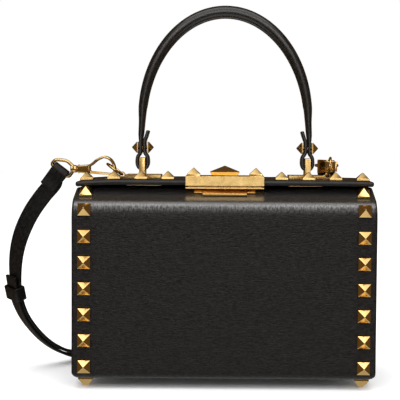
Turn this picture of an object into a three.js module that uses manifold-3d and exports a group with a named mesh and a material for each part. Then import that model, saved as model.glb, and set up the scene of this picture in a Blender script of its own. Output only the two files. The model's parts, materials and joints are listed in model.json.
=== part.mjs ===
// A small structured box bag: a hollow leather box with sloped shoulders, a hinged lid with a
// turn knob clasp, a rolled top handle, pyramid studs, and a shoulder strap on two snap hooks.
// Millimetres, +Z up, the front faces -Y. The origin is the centre of the box's underside.
import * as THREE from 'three';
import { mergeVertices } from 'three/addons/utils/BufferGeometryUtils.js';
import Module from 'manifold-3d';

const wasm = await Module();
wasm.setup();

// Fit between touching pieces
const GAP = 0.3;

// Box
const BODY_WIDTH = 190.6;
const BODY_DEPTH = 96;
const WALL = 2.4;
const SHOULDER_START = 101;
const SHOULDER_RADIUS = 14;
const SLOPE_DEG = 35;
const BOTTOM_RADIUS = 5;
const SIDE_CORNER_RADIUS = 4;
const TOP_CORNER_INSET = 1.8;
const FRONT_DIP = 2.2;
const BASE_RELIEF = 0.4;

// Lid
const LID_SIDE_INSET = 1.05;
const LID_INSET = 12;
const LID_THICKNESS = 3.4;
const LID_TOP = 125;
const DROOP_SPAN = 32.2;
const DROOP_LEFT = 1.4;
const DROOP_RIGHT = 0.4;
const LID_OPEN_CLEARANCE = 2.3;
const HINGE_ROLL_RADIUS = 1.8;
const HINGE_ROLL_MARGIN = 8;

// Pyramid studs
const STUD_BASE = 8.2;
const STUD_PLINTH = 1.3;
const STUD_RISE = 3.8;
const STUD_TIP = 0.5;
const STUD_PITCH = 16.3;
const STUD_FIRST = 8.5;
const STUDS_PER_COLUMN = 8;
const TOP_STUD_SHIFT = 1.3;
const STUD_COLUMN_INSET = 8;
const LID_STUD_FROM_CLASP = 11.2;
const LID_STUDS_PER_SIDE = 4;
const LID_STUD_EDGE = 1.7;

// Feet
const FOOT_BASE = 9;
const FOOT_PLINTH = 1.5;
const FOOT_RISE = 4.4;
const FOOT_TIP = 2.4;
const FOOT_INSET = 11.8;

// Clasp
const CLASP_WIDTH = 49.7;
const CLASP_DEPTH = 24;
const CLASP_PLATE = 2.2;
const CLASP_FRONT = 1.2;
const CLASP_DROP = 3.6;
const CLASP_PYRAMID_X = 19.7;
const CLASP_PYRAMID_STEP = 1.4;
const UNDERPLATE_THICKNESS = 1.0;
const UNDERPLATE_RIB = 0.8;
const UNDERPLATE_SETBACK = 1.6;
const UNDERPLATE_DEPTH = 16;
const KNOB_WIDTH = 18.8;
const KNOB_SKIRT = 2.2;
const KNOB_SKIRT_INSET = 1.3;
const KNOB_RISE = 3.9;
const KNOB_STEM_RADIUS = 2.6;
const CATCH_WIDTH = 38.7;
const CATCH_STEP_WIDTH = 28;
const CATCH_LENGTH = 3.2;
const CATCH_STEP_LENGTH = 5.6;
const CATCH_THICKNESS = 0.8;
const CATCH_STEP_THICKNESS = 1.3;

// Anchors, rings and backing plates
const ANCHOR_WIDTH = 22.8;
const ANCHOR_DEPTH = 22;
const ANCHOR_PLATE = 2;
const STAPLE_INSET = 41.2;
const STAPLE_WIDTH = 3.7;
const STAPLE_HEIGHT = 13;
const STAPLE_BAR = 3.4;
const STAPLE_LEG = 3;
const STAPLE_SPAN = 12.6;
const LUG_FROM_STAPLE = 13.5;
const LUG_RADIUS = 1.95;
const LUG_LENGTH = 3;
const LUG_BORE = 1.35;
const RING_RADIUS = 6;
const RING_WIRE = 0.8;
const RING_LEAN_LEFT_DEG = 55;
const RING_LEAN_RIGHT_DEG = 9;
const BACKING_THICKNESS = 1.5;
const BACKING_DEPTH = 12;

// Handle
const ARCH_SPREAD = 0.5;
const ARCH_RISE = 71.8;
const ARCH_ABOVE_RIVET = 17;
const HANDLE_THICK_TOP = 8.2;
const HANDLE_THICK_END = 4;
const HANDLE_WIDTH_TOP = 10.5;
const HANDLE_STRAP_WIDTH = 11;
const HANDLE_STRAP_THICKNESS = 2.1;
const LOOP_SLACK = 3.9;
const RIVET_ABOVE_STAPLE = 6.7;
const LOOP_HALF_WIDTH = 3.5;
const TIP_RISE = 10.5;
const RIVET_SHAFT = 1.2;
const RIVET_BASE = 7.4;
const RIVET_PLINTH = 0.8;
const RIVET_POINT = 3.4;

// Snap hooks, in each hook's own plane
const HOOK_BAND_WIDTH = 8.6;
const HOOK_BAND_THICKNESS = 1.5;
const HOOK_NECK_LENGTH = 8.7;
const HOOK_NECK_HEIGHT = 6;
const HOOK_REACH = 24.7;
const HOOK_HEIGHT = 7.9;
const GATE_PIVOT_P = 8.6;
const GATE_PIVOT_Q = -2.1;
const GATE_THICKNESS = 1.5;
const GATE_WIDTH = 6.6;
const GATE_DROP = 1.3;
const BARREL_RADIUS = 2.5;
const BARREL_LENGTH = 4.2;
const PIN_RADIUS = 1.2;
const PIN_LENGTH = 4;
const STRAP_RING_WIRE = 1.1;
const STRAP_BAR = 14.4;

// Shoulder strap
const STRAP_WIDTH = 11.5;
const STRAP_THICKNESS = 2.1;
const STRAP_FOLD_RADIUS = 2.6;
const STRAP_TAB = 13;
const KEEPER_LENGTH = 9;
const KEEPER_WALL = 1.4;
const BUCKLE_LENGTH = 5;
const BUCKLE_WALL = 1.2;
const TIP_PAST_KEEPER = 7;

// Materials
const LEATHER = { color: 0x1d1b1b, roughness: 0.5, metalness: 0 };
const GOLD = { color: 0xd9a94e, roughness: 0.22, metalness: 1 };

// Worked-out sizes
const RAD = Math.PI / 180;
const HALF_DEPTH = BODY_DEPTH / 2;
const LID_UNDER = LID_TOP - LID_THICKNESS;
const BODY_TOP = LID_UNDER - GAP;
const LID_DEPTH = BODY_DEPTH - 2 * LID_INSET;
const LID_WIDTH = BODY_WIDTH - 2 * LID_SIDE_INSET;
const DROOP_START = LID_WIDTH / 2 - DROOP_SPAN;
const STUD_COLUMN_X = BODY_WIDTH / 2 - STUD_COLUMN_INSET;
const STAPLE_X = BODY_WIDTH / 2 - STAPLE_INSET;
const LUG_X = STAPLE_X + LUG_FROM_STAPLE;
const ARCH_HALF_WIDTH = STAPLE_X + ARCH_SPREAD;
const LID_STUD_FIRST = CLASP_WIDTH / 2 + LID_STUD_FROM_CLASP;
const LID_STUD_PITCH = (STUD_COLUMN_X - LID_STUD_FIRST) / (LID_STUDS_PER_SIDE - 1);
const LID_FRONT = -LID_DEPTH / 2;
const LID_BACK = LID_DEPTH / 2;
const ARC_END_DEPTH = SHOULDER_RADIUS * (1 - Math.sin(SLOPE_DEG * RAD));
const ARC_END_HEIGHT = SHOULDER_START + SHOULDER_RADIUS * Math.cos(SLOPE_DEG * RAD);
const FLOOR = BASE_RELIEF - GAP - FOOT_PLINTH - FOOT_RISE;
const STAPLE_TOP = LID_TOP + GAP + STAPLE_HEIGHT;
const LOOP_BOTTOM = STAPLE_TOP - STAPLE_BAR - LOOP_SLACK;
const RIVET_HEIGHT = STAPLE_TOP + RIVET_ABOVE_STAPLE;
const ARCH_BASE = RIVET_HEIGHT + ARCH_ABOVE_RIVET;
const HINGE = { y: LID_BACK, z: LID_UNDER - LID_OPEN_CLEARANCE };

const group = new THREE.Group();

const v3 = (x, y, z) => new THREE.Vector3(x, y, z);

// Depth behind the front plane of the sloped shoulder at a height.
const slopeDepth = (z) => ARC_END_DEPTH + (z - ARC_END_HEIGHT) / Math.tan(SLOPE_DEG * RAD);

// How far the lid's underside hangs lower towards its ends.
function droop(x) {
  const share = Math.max(0, Math.abs(x) - DROOP_START) / (LID_WIDTH / 2 - DROOP_START);
  return (x < 0 ? DROOP_LEFT : DROOP_RIGHT) * share * share;
}

// Slope angle of the drooping lid at x, positive where it falls towards +X.
function droopAngle(x) {
  const step = 0.5;
  return Math.atan((droop(x + step) - droop(x - step)) / (2 * step));
}

// Turns a mesh's faces outwards, and merges its shared vertices.
function closed(geometry) {
  const g = geometry.index ? geometry.toNonIndexed() : geometry.clone();
  for (const name of Object.keys(g.attributes)) if (name !== 'position') g.deleteAttribute(name);
  const merged = mergeVertices(g, 1e-4);
  const p = merged.attributes.position;
  const index = Array.from(merged.index.array);
  const kept = [];
  let volume = 0;
  const a = v3(), b = v3(), c = v3();
  for (let i = 0; i < index.length; i += 3) {
    const [i0, i1, i2] = index.slice(i, i + 3);
    if (i0 === i1 || i1 === i2 || i0 === i2) continue;
    a.fromBufferAttribute(p, i0);
    b.fromBufferAttribute(p, i1);
    c.fromBufferAttribute(p, i2);
    volume += a.dot(b.cross(c)) / 6;
    kept.push(i0, i1, i2);
  }
  if (volume < 0) kept.reverse();
  merged.setIndex(kept);
  return merged;
}

const manifoldOf = (geometry) => {
  const g = closed(geometry);
  return new wasm.Manifold(new wasm.Mesh({
    numProp: 3,
    vertProperties: g.attributes.position.array,
    triVerts: new Uint32Array(g.index.array),
  }));
};

function geometryOf(manifold) {
  const m = manifold.getMesh();
  const g = new THREE.BufferGeometry();
  g.setAttribute('position', new THREE.BufferAttribute(new Float32Array(m.vertProperties), 3));
  g.setIndex(new THREE.BufferAttribute(new Uint32Array(m.triVerts), 1));
  return g;
}

// The first geometry joined with the others.
const joined = (...parts) => geometryOf(parts.map(manifoldOf).reduce((all, one) => all.add(one)));

// The first geometry with the others cut away.
function cut(main, ...cutters) {
  return geometryOf(cutters.map(manifoldOf).reduce((all, one) => all.subtract(one), manifoldOf(main)));
}

// Adds one named piece to the bag.
function piece(name, geometry, finish) {
  const shown = closed(geometry).toNonIndexed();
  shown.computeVertexNormals();
  const mesh = new THREE.Mesh(shown, new THREE.MeshStandardMaterial(finish));
  mesh.name = name;
  group.add(mesh);
}

// A (y, z) outline carried along X from x0 to x1.
function prismX(outline, x0, x1) {
  const g = new THREE.ExtrudeGeometry(outline, { depth: x1 - x0, bevelEnabled: false, curveSegments: 6 });
  const turn = new THREE.Matrix4().makeBasis(v3(0, 1, 0), v3(0, 0, 1), v3(1, 0, 0));
  return g.applyMatrix4(turn).translate(x0, 0, 0);
}

// An (x, z) outline carried along Y from y0 to y1.
function prismY(outline, y0, y1) {
  const g = new THREE.ExtrudeGeometry(outline, { depth: y1 - y0, bevelEnabled: false, curveSegments: 6 });
  const turn = new THREE.Matrix4().makeBasis(v3(1, 0, 0), v3(0, 0, 1), v3(0, -1, 0));
  return g.applyMatrix4(turn).translate(0, y1, 0);
}

const box = (x0, x1, y0, y1, z0, z1) =>
  new THREE.BoxGeometry(x1 - x0, y1 - y0, z1 - z0)
    .translate((x0 + x1) / 2, (y0 + y1) / 2, (z0 + z1) / 2);

// A cylinder of the given axis letter, centred on a point.
function rod(axis, radius, length, x, y, z, sides = 16) {
  const g = new THREE.CylinderGeometry(radius, radius, length, sides);
  if (axis === 'x') g.rotateZ(Math.PI / 2);
  if (axis === 'z') g.rotateX(Math.PI / 2);
  return g.translate(x, y, z);
}

// Square rings stacked along Z: rows of { half, height } from the bottom up.
function squareStack(rows) {
  const profile = [new THREE.Vector2(0, rows[0].height)];
  for (const { half, height } of rows) profile.push(new THREE.Vector2(half * Math.SQRT2, height));
  profile.push(new THREE.Vector2(0, rows[rows.length - 1].height));
  return new THREE.LatheGeometry(profile, 4, Math.PI / 4).rotateX(Math.PI / 2);
}

// A pyramid on a square plinth, standing on z = 0.
const pyramid = (base, plinth, rise, tip) => squareStack([
  { half: base / 2, height: 0 },
  { half: base / 2, height: plinth },
  { half: tip / 2, height: plinth + rise },
]);

// Skins rings of points, each with as many points, into one closed body.
function skin(rings, loop = false) {
  const count = rings[0].length;
  const position = rings.flat().flatMap((p) => [p.x, p.y, p.z]);
  const index = [];
  const last = loop ? rings.length : rings.length - 1;
  for (let i = 0; i < last; i++) {
    const next = (i + 1) % rings.length;
    for (let k = 0; k < count; k++) {
      const k2 = (k + 1) % count;
      index.push(i * count + k, next * count + k, i * count + k2);
      index.push(next * count + k, next * count + k2, i * count + k2);
    }
  }
  if (!loop) {
    const end = (rings.length - 1) * count;
    for (let k = 1; k < count - 1; k++) {
      index.push(0, k, k + 1);
      index.push(end, end + k + 1, end + k);
    }
  }
  const g = new THREE.BufferGeometry();
  g.setAttribute('position', new THREE.Float32BufferAttribute(position, 3));
  g.setIndex(index);
  return g;
}

// Round wire along a closed curve that lies in the plane with the given normal.
function wireLoop(curve, radius, normal, steps = 24, sides = 6) {
  const rings = [];
  for (let i = 0; i < steps; i++) {
    const at = curve.getPointAt(i / steps);
    const out = curve.getTangentAt(i / steps).cross(normal).normalize();
    const ring = [];
    for (let k = 0; k < sides; k++) {
      const a = (k / sides) * Math.PI * 2;
      ring.push(at.clone().addScaledVector(out, radius * Math.cos(a))
        .addScaledVector(normal, radius * Math.sin(a)));
    }
    rings.push(ring);
  }
  return skin(rings, true);
}

// The shoulder profile on one side, from the bottom edge up, inset by a wall.
// side is -1 for the front and 1 for the back.
function profilePoints(side, inset, top) {
  const points = [];
  const add = (depth, z) => points.push(new THREE.Vector2(side * (HALF_DEPTH - depth), z));
  const bottomRadius = Math.max(BOTTOM_RADIUS - inset, 0.5);
  const corner = inset + bottomRadius;
  const lift = inset > 0 ? 0 : BASE_RELIEF;
  for (let i = 0; i <= 5; i++) {
    const a = (i / 5) * Math.PI / 2;
    add(corner - bottomRadius * Math.sin(a), lift + corner - bottomRadius * Math.cos(a));
  }
  const radius = SHOULDER_RADIUS - inset;
  const turn = Math.PI / 2 - SLOPE_DEG * RAD;
  for (let i = 0; i <= 7; i++) {
    const a = (i / 7) * turn;
    add(SHOULDER_RADIUS - radius * Math.cos(a), SHOULDER_START + radius * Math.sin(a));
  }
  add(slopeDepth(top) + inset / Math.sin(SLOPE_DEG * RAD), top);
  return points;
}

// The box's side outline, closed at a height above the slopes.
function sideOutline(inset, top, above) {
  const front = profilePoints(-1, inset, top);
  const back = profilePoints(1, inset, top).reverse();
  const cap = above > top
    ? [new THREE.Vector2(front[front.length - 1].x, above), new THREE.Vector2(back[0].x, above)]
    : [];
  return new THREE.Shape([...front, ...cap, ...back]);
}

// The box's front outline: rounded bottom corners, and top corners drawn in a little.
function frontOutline(inset, above) {
  const half = BODY_WIDTH / 2 - inset;
  const radius = Math.max(SIDE_CORNER_RADIUS - inset, 0.5);
  const lift = inset > 0 ? 0 : BASE_RELIEF;
  const points = [];
  const add = (x, z) => points.push(new THREE.Vector2(x, z));
  for (let i = 0; i <= 4; i++) {
    const a = (i / 4) * Math.PI / 2;
    add(half - radius + radius * Math.sin(a), lift + inset + radius - radius * Math.cos(a));
  }
  add(half, ARC_END_HEIGHT);
  add(half - TOP_CORNER_INSET, BODY_TOP);
  add(half - TOP_CORNER_INSET, above);
  return new THREE.Shape([...points, ...points.map((p) => new THREE.Vector2(-p.x, p.y)).reverse()]);
}

// Everything above a curve z(x) across the bag, as an (x, z) outline.
function aboveCurve(height, top) {
  const half = BODY_WIDTH / 2 + 5;
  const steps = 24;
  const points = [];
  for (let i = 0; i <= steps; i++) {
    const x = -half + (2 * half * i) / steps;
    points.push(new THREE.Vector2(x, height(x)));
  }
  points.push(new THREE.Vector2(half, top), new THREE.Vector2(-half, top));
  return new THREE.Shape(points);
}

// The height of the front lip, lower in the middle than at the corners.
function frontLip(x) {
  const share = Math.min(1, Math.abs(x) / (BODY_WIDTH / 2));
  return BODY_TOP - droop(x) - FRONT_DIP * (1 - share * share);
}

function bodyShell() {
  const above = LID_TOP + 5;
  const outer = manifoldOf(prismX(sideOutline(0, above, above), -BODY_WIDTH, BODY_WIDTH))
    .intersect(manifoldOf(prismY(frontOutline(0, above), -BODY_DEPTH, BODY_DEPTH)));
  const inner = manifoldOf(prismX(sideOutline(WALL, BODY_TOP, above + 5), -BODY_WIDTH, BODY_WIDTH))
    .intersect(manifoldOf(prismY(frontOutline(WALL, above + 5), -BODY_DEPTH, BODY_DEPTH)));
  const lidRoom = prismY(aboveCurve((x) => BODY_TOP - droop(x), above + 10), -BODY_DEPTH, BODY_DEPTH);
  const dip = prismY(aboveCurve(frontLip, above + 10), -BODY_DEPTH, -HALF_DEPTH + slopeDepth(BODY_TOP) + WALL * 2);
  const panelX = STUD_COLUMN_X - FOOT_BASE / 2 - 2;
  const panelY = HALF_DEPTH - BOTTOM_RADIUS - 2;
  const panel = box(-panelX, panelX, -panelY, panelY, 0, WALL / 2);
  return geometryOf(outer.subtract(inner).subtract(manifoldOf(lidRoom)).subtract(manifoldOf(dip))
    .add(manifoldOf(panel)));
}
piece('body_shell', bodyShell(), LEATHER);

// Place and outward tilt on the front profile, a distance along it from the bottom.
function onFront(distance) {
  if (distance <= SHOULDER_START) return { depth: 0, z: distance, tilt: 0 };
  const turn = (distance - SHOULDER_START) / SHOULDER_RADIUS;
  const most = Math.PI / 2 - SLOPE_DEG * RAD;
  if (turn <= most) {
    return {
      depth: SHOULDER_RADIUS * (1 - Math.cos(turn)),
      z: SHOULDER_START + SHOULDER_RADIUS * Math.sin(turn),
      tilt: turn,
    };
  }
  const along = distance - SHOULDER_START - SHOULDER_RADIUS * most;
  return {
    depth: ARC_END_DEPTH + along * Math.cos(SLOPE_DEG * RAD),
    z: ARC_END_HEIGHT + along * Math.sin(SLOPE_DEG * RAD),
    tilt: most,
  };
}

const stud = () => pyramid(STUD_BASE, STUD_PLINTH, STUD_RISE, STUD_TIP);
for (const [side, sign] of [['left', -1], ['right', 1]]) {
  for (let k = 0; k < STUDS_PER_COLUMN; k++) {
    const shift = k === STUDS_PER_COLUMN - 1 ? TOP_STUD_SHIFT : 0;
    const { depth, z, tilt } = onFront(STUD_FIRST + k * STUD_PITCH - shift);
    const g = stud().translate(0, 0, GAP).rotateX(Math.PI / 2 - tilt)
      .translate(sign * STUD_COLUMN_X, depth - HALF_DEPTH, z);
    piece(`stud_front_${side}_${k + 1}`, g, GOLD);
  }
}

for (const [side, sx] of [['left', -1], ['right', 1]]) {
  for (const [end, sy] of [['front', -1], ['back', 1]]) {
    const g = pyramid(FOOT_BASE, FOOT_PLINTH, FOOT_RISE, FOOT_TIP).rotateX(Math.PI)
      .translate(sx * STUD_COLUMN_X, sy * (HALF_DEPTH - FOOT_INSET), BASE_RELIEF - GAP);
    piece(`foot_${end}_${side}`, g, GOLD);
  }
}

// The catch lies on the front slope: a wide plate up to the lip, and a narrower step on it.
function catchPlate() {
  const lip = frontLip(0) - 3 * GAP;
  const wide = box(-CATCH_WIDTH / 2, CATCH_WIDTH / 2, -CATCH_LENGTH, 0, GAP, GAP + CATCH_THICKNESS);
  const step = box(-CATCH_STEP_WIDTH / 2, CATCH_STEP_WIDTH / 2, -CATCH_STEP_LENGTH, -CATCH_LENGTH / 2,
    GAP, GAP + CATCH_STEP_THICKNESS);
  return joined(wide, step).rotateX(SLOPE_DEG * RAD)
    .translate(0, slopeDepth(lip) - HALF_DEPTH, lip);
}
piece('catch_plate', catchPlate(), GOLD);

piece('hinge_roll',
  rod('x', HINGE_ROLL_RADIUS, LID_WIDTH - 2 * HINGE_ROLL_MARGIN, 0, HINGE.y, HINGE.z, 12), LEATHER);

// The lid: a panel with rounded front and back edges, bent down at its ends.
function lidPanel() {
  const rows = 28;
  const radius = LID_THICKNESS / 2;
  const rings = [];
  for (let i = 0; i <= rows; i++) {
    const x = LID_WIDTH * (i / rows - 0.5);
    const middle = LID_UNDER + radius - droop(x);
    const ring = [];
    for (const [sign, start] of [[1, -90], [-1, 90]]) {
      for (let k = 0; k <= 4; k++) {
        const a = (start + 45 * k) * RAD;
        ring.push(v3(x, sign * (LID_BACK - radius) + radius * Math.cos(a), middle + radius * Math.sin(a)));
      }
    }
    rings.push(ring);
  }
  return skin(rings);
}
const KNOB_Y = LID_FRONT - GAP - CLASP_FRONT + CLASP_DEPTH / 2;
const stemHole = () => rod('z', KNOB_STEM_RADIUS + GAP, 20, 0, KNOB_Y, LID_TOP - LID_THICKNESS / 2);
piece('lid', cut(lidPanel(), stemHole()), LEATHER);

for (const [side, sign] of [['left', -1], ['right', 1]]) {
  for (let k = 0; k < LID_STUDS_PER_SIDE; k++) {
    const x = sign * (STUD_COLUMN_X - (LID_STUDS_PER_SIDE - 1 - k) * LID_STUD_PITCH);
    const y = LID_FRONT + LID_STUD_EDGE + STUD_BASE / 2;
    const g = stud().translate(0, 0, GAP).rotateY(droopAngle(x))
      .translate(x, y, LID_TOP - droop(x));
    piece(`stud_lid_${side}_${LID_STUDS_PER_SIDE - k}`, g, GOLD);
  }
}

// The clasp plate folds over the lid's front edge and carries two pyramids.
function claspPlate() {
  const half = CLASP_WIDTH / 2;
  const bottom = LID_TOP + GAP;
  const top = bottom + CLASP_PLATE;
  const back = LID_FRONT - GAP - CLASP_FRONT + CLASP_DEPTH;
  const front = LID_FRONT - GAP - CLASP_FRONT;
  const plate = box(-half, half, front, back, bottom, top);
  const apron = box(-half, half, front, front + CLASP_FRONT, LID_TOP - CLASP_DROP, top - CLASP_PLATE / 2);
  const studs = [-1, 1].map((sign) => squareStack([
    { half: STUD_BASE / 2, height: -CLASP_PLATE / 2 },
    { half: STUD_BASE / 2, height: CLASP_PYRAMID_STEP },
    { half: STUD_TIP / 2, height: CLASP_PYRAMID_STEP + STUD_RISE },
  ]).translate(sign * CLASP_PYRAMID_X, front + LID_STUD_EDGE + STUD_BASE / 2, top));
  return cut(joined(plate, apron, ...studs), stemHole());
}
piece('clasp_plate', claspPlate(), GOLD);

function claspUnderplate() {
  const half = CLASP_WIDTH / 2;
  const top = LID_UNDER - GAP;
  const front = LID_FRONT - GAP - CLASP_FRONT;
  const plate = box(-half, half, front, front + UNDERPLATE_DEPTH,
    top - UNDERPLATE_RIB - UNDERPLATE_THICKNESS, top - UNDERPLATE_RIB);
  const rib = box(-half + UNDERPLATE_SETBACK, half - UNDERPLATE_SETBACK, front + UNDERPLATE_SETBACK,
    front + UNDERPLATE_DEPTH, top - UNDERPLATE_RIB - UNDERPLATE_THICKNESS / 2, top);
  return joined(plate, rib);
}
piece('clasp_underplate', claspUnderplate(), GOLD);

function turnKnob() {
  const bottom = LID_TOP + 2 * GAP + CLASP_PLATE;
  const head = squareStack([
    { half: KNOB_WIDTH / 2 - KNOB_SKIRT_INSET, height: 0 },
    { half: KNOB_WIDTH / 2, height: KNOB_SKIRT },
    { half: STUD_TIP / 2, height: KNOB_SKIRT + KNOB_RISE },
  ]).translate(0, KNOB_Y, bottom);
  const low = LID_UNDER;
  const stem = rod('z', KNOB_STEM_RADIUS, bottom + KNOB_SKIRT / 2 - low, 0, KNOB_Y,
    (bottom + KNOB_SKIRT / 2 + low) / 2);
  return joined(head, stem);
}
piece('turn_knob', turnKnob(), GOLD);

// Base plate, staple for the handle and lug for the strap ring, drawn for the right side.
const PLATE_BOTTOM = LID_TOP + GAP;
const LUG_Z = PLATE_BOTTOM + LUG_RADIUS - 0.2;
function anchor() {
  const plateTop = PLATE_BOTTOM + ANCHOR_PLATE;
  const plateIn = STAPLE_X - ANCHOR_WIDTH / 2 - 1;
  const plate = box(plateIn, plateIn + ANCHOR_WIDTH, -ANCHOR_DEPTH / 2, ANCHOR_DEPTH / 2, PLATE_BOTTOM, plateTop);
  const x0 = STAPLE_X - STAPLE_WIDTH / 2;
  const x1 = STAPLE_X + STAPLE_WIDTH / 2;
  const out = STAPLE_SPAN / 2 + STAPLE_LEG;
  const bridge = box(x0, x1, -out, out, PLATE_BOTTOM + ANCHOR_PLATE / 2, PLATE_BOTTOM + STAPLE_HEIGHT);
  const window = box(x0 - 5, x1 + 5, -STAPLE_SPAN / 2, STAPLE_SPAN / 2, plateTop,
    PLATE_BOTTOM + STAPLE_HEIGHT - STAPLE_BAR);
  const arm = box(plateIn + ANCHOR_WIDTH - 1, LUG_X, -LUG_LENGTH / 2, LUG_LENGTH / 2, PLATE_BOTTOM, plateTop);
  const lug = rod('y', LUG_RADIUS, LUG_LENGTH, LUG_X, 0, LUG_Z);
  const under = box(LUG_X - 5, LUG_X + 5, -5, 5, PLATE_BOTTOM - 5, PLATE_BOTTOM);
  const bore = rod('y', LUG_BORE, LUG_LENGTH * 3, LUG_X, 0, LUG_Z);
  return geometryOf(manifoldOf(plate).add(manifoldOf(bridge).subtract(manifoldOf(window)))
    .add(manifoldOf(arm)).add(manifoldOf(lug)).subtract(manifoldOf(under)).subtract(manifoldOf(bore)));
}
// Half a turn about Z carries the right anchor to the left without mirroring it.
piece('anchor_right', anchor(), GOLD);
piece('anchor_left', anchor().rotateZ(Math.PI), GOLD);

for (const [side, sign] of [['left', -1], ['right', 1]]) {
  const x = sign * (STAPLE_X - 1);
  const top = LID_UNDER - GAP;
  piece(`backing_${side}`, box(x - ANCHOR_WIDTH / 2, x + ANCHOR_WIDTH / 2, -BACKING_DEPTH / 2,
    BACKING_DEPTH / 2, top - BACKING_THICKNESS, top), GOLD);
}

// A ring hangs in its lug and leans outwards from upright.
function leaningRing(sign, leanDeg) {
  const out = v3(sign * Math.sin(leanDeg * RAD), 0, Math.cos(leanDeg * RAD));
  const centre = v3(sign * LUG_X, 0, LUG_Z).addScaledVector(out, RING_RADIUS);
  const points = [];
  for (let i = 0; i < 24; i++) {
    const a = (i / 24) * Math.PI * 2;
    points.push(centre.clone().addScaledVector(out, RING_RADIUS * Math.cos(a))
      .add(v3(0, RING_RADIUS * Math.sin(a), 0)));
  }
  const normal = v3(0, 1, 0).cross(out).normalize();
  const curve = new THREE.CatmullRomCurve3(points, true);
  return { geometry: wireLoop(curve, RING_WIRE, normal, 24, 6), centre, out };
}
const ringLeft = leaningRing(-1, RING_LEAN_LEFT_DEG);
const ringRight = leaningRing(1, RING_LEAN_RIGHT_DEG);
piece('ring_left', ringLeft.geometry, GOLD);
piece('ring_right', ringRight.geometry, GOLD);

// The handle: each half runs from its free tip, down and round the staple's bar, up through the
// rivet and over the arch. side is the distance outwards from the staple, as a share of the loop's
// half width, and rise is the height as a share of the way from the loop's bottom to the rivet.
const LOOP_ROWS = [
  { side: -0.37, rise: 1.28 },
  { side: -0.37, rise: 1.0 },
  { side: -0.42, rise: 0.76 },
  { side: -0.86, rise: 0.58 },
  { side: -1.0, rise: 0.4 },
  { side: -0.95, rise: 0.2 },
  { side: -0.6, rise: 0.04 },
  { side: 0.0, rise: 0.0 },
  { side: 0.6, rise: 0.04 },
  { side: 0.95, rise: 0.2 },
  { side: 1.0, rise: 0.4 },
  { side: 0.86, rise: 0.58 },
  { side: 0.42, rise: 0.76 },
  { side: 0.37, rise: 1.0 },
  { side: 0.37, rise: 1.28 },
];
function handle() {
  const rows = [];
  const loopRise = RIVET_HEIGHT - LOOP_BOTTOM;
  const strap = { thick: HANDLE_STRAP_THICKNESS, wide: HANDLE_STRAP_WIDTH };
  rows.push({ x: STAPLE_X - LOOP_HALF_WIDTH * 0.98, z: RIVET_HEIGHT + TIP_RISE, ...strap });
  rows.push({ x: STAPLE_X - LOOP_HALF_WIDTH * 0.66, z: RIVET_HEIGHT + TIP_RISE * 0.66, ...strap });
  for (const { side, rise } of LOOP_ROWS) {
    rows.push({ x: STAPLE_X + side * LOOP_HALF_WIDTH, z: LOOP_BOTTOM + rise * loopRise, ...strap });
  }
  rows.push({ x: STAPLE_X + 0.3 * LOOP_HALF_WIDTH, z: RIVET_HEIGHT + TIP_RISE * 0.8, ...strap,
    thick: HANDLE_THICK_END * 0.85 });
  const archSteps = 9;
  for (let i = 0; i <= archSteps; i++) {
    const a = (i / archSteps) * Math.PI / 2;
    const up = Math.pow(Math.sin(a), 0.52);
    rows.push({
      x: ARCH_HALF_WIDTH * Math.cos(a),
      z: ARCH_BASE + ARCH_RISE * Math.sin(a),
      thick: HANDLE_THICK_END + (HANDLE_THICK_TOP - HANDLE_THICK_END) * up,
      wide: HANDLE_STRAP_WIDTH + (HANDLE_WIDTH_TOP - HANDLE_STRAP_WIDTH) * up,
    });
  }
  const left = rows.slice(0, -1).map((r) => ({ ...r, x: -r.x }));
  const all = [...left, ...rows.reverse()];
  const path = new THREE.CatmullRomCurve3(all.map((r) => v3(r.x, 0, r.z)), false, 'centripetal');
  const rings = [];
  const perRow = 2;
  const steps = (all.length - 1) * perRow;
  for (let i = 0; i <= steps; i++) {
    const t = i / steps;
    const low = Math.min(Math.floor(i / perRow), all.length - 2);
    const share = i / perRow - low;
    const thick = all[low].thick + (all[low + 1].thick - all[low].thick) * share;
    const wide = all[low].wide + (all[low + 1].wide - all[low].wide) * share;
    const at = path.getPoint(t);
    const normal = v3(0, 1, 0).cross(path.getTangent(t)).normalize();
    const ring = [];
    for (let k = 0; k < 8; k++) {
      const a = ((k + 0.5) / 8) * Math.PI * 2;
      const round = 1 / Math.pow(Math.abs(Math.cos(a)) ** 3.2 + Math.abs(Math.sin(a)) ** 3.2, 1 / 3.2);
      ring.push(at.clone().addScaledVector(normal, (thick / 2) * Math.cos(a) * round)
        .add(v3(0, (wide / 2) * Math.sin(a) * round, 0)));
    }
    rings.push(ring);
  }
  return skin(rings);
}
const rivetHole = (sign) => rod('x', RIVET_SHAFT + GAP, 20, sign * STAPLE_X, 0, RIVET_HEIGHT, 12);
piece('handle', cut(handle(), rivetHole(-1), rivetHole(1)), LEATHER);

// A rivet right through both leather layers, with a pyramid at each end.
function rivet(x) {
  const seat = 0.42 * LOOP_HALF_WIDTH + HANDLE_STRAP_THICKNESS / 2 + 1.5 * GAP;
  const cap = () => pyramid(RIVET_BASE, RIVET_PLINTH, RIVET_POINT, STUD_TIP).rotateY(Math.PI / 2);
  const right = cap().translate(seat, 0, 0);
  const left = cap().rotateZ(Math.PI).translate(-seat, 0, 0);
  return joined(rod('x', RIVET_SHAFT, 2 * seat + RIVET_PLINTH, 0, 0, 0, 12), right, left)
    .translate(x, 0, RIVET_HEIGHT);
}
piece('rivet_left', rivet(-STAPLE_X), GOLD);
piece('rivet_right', rivet(STAPLE_X), GOLD);

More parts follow.
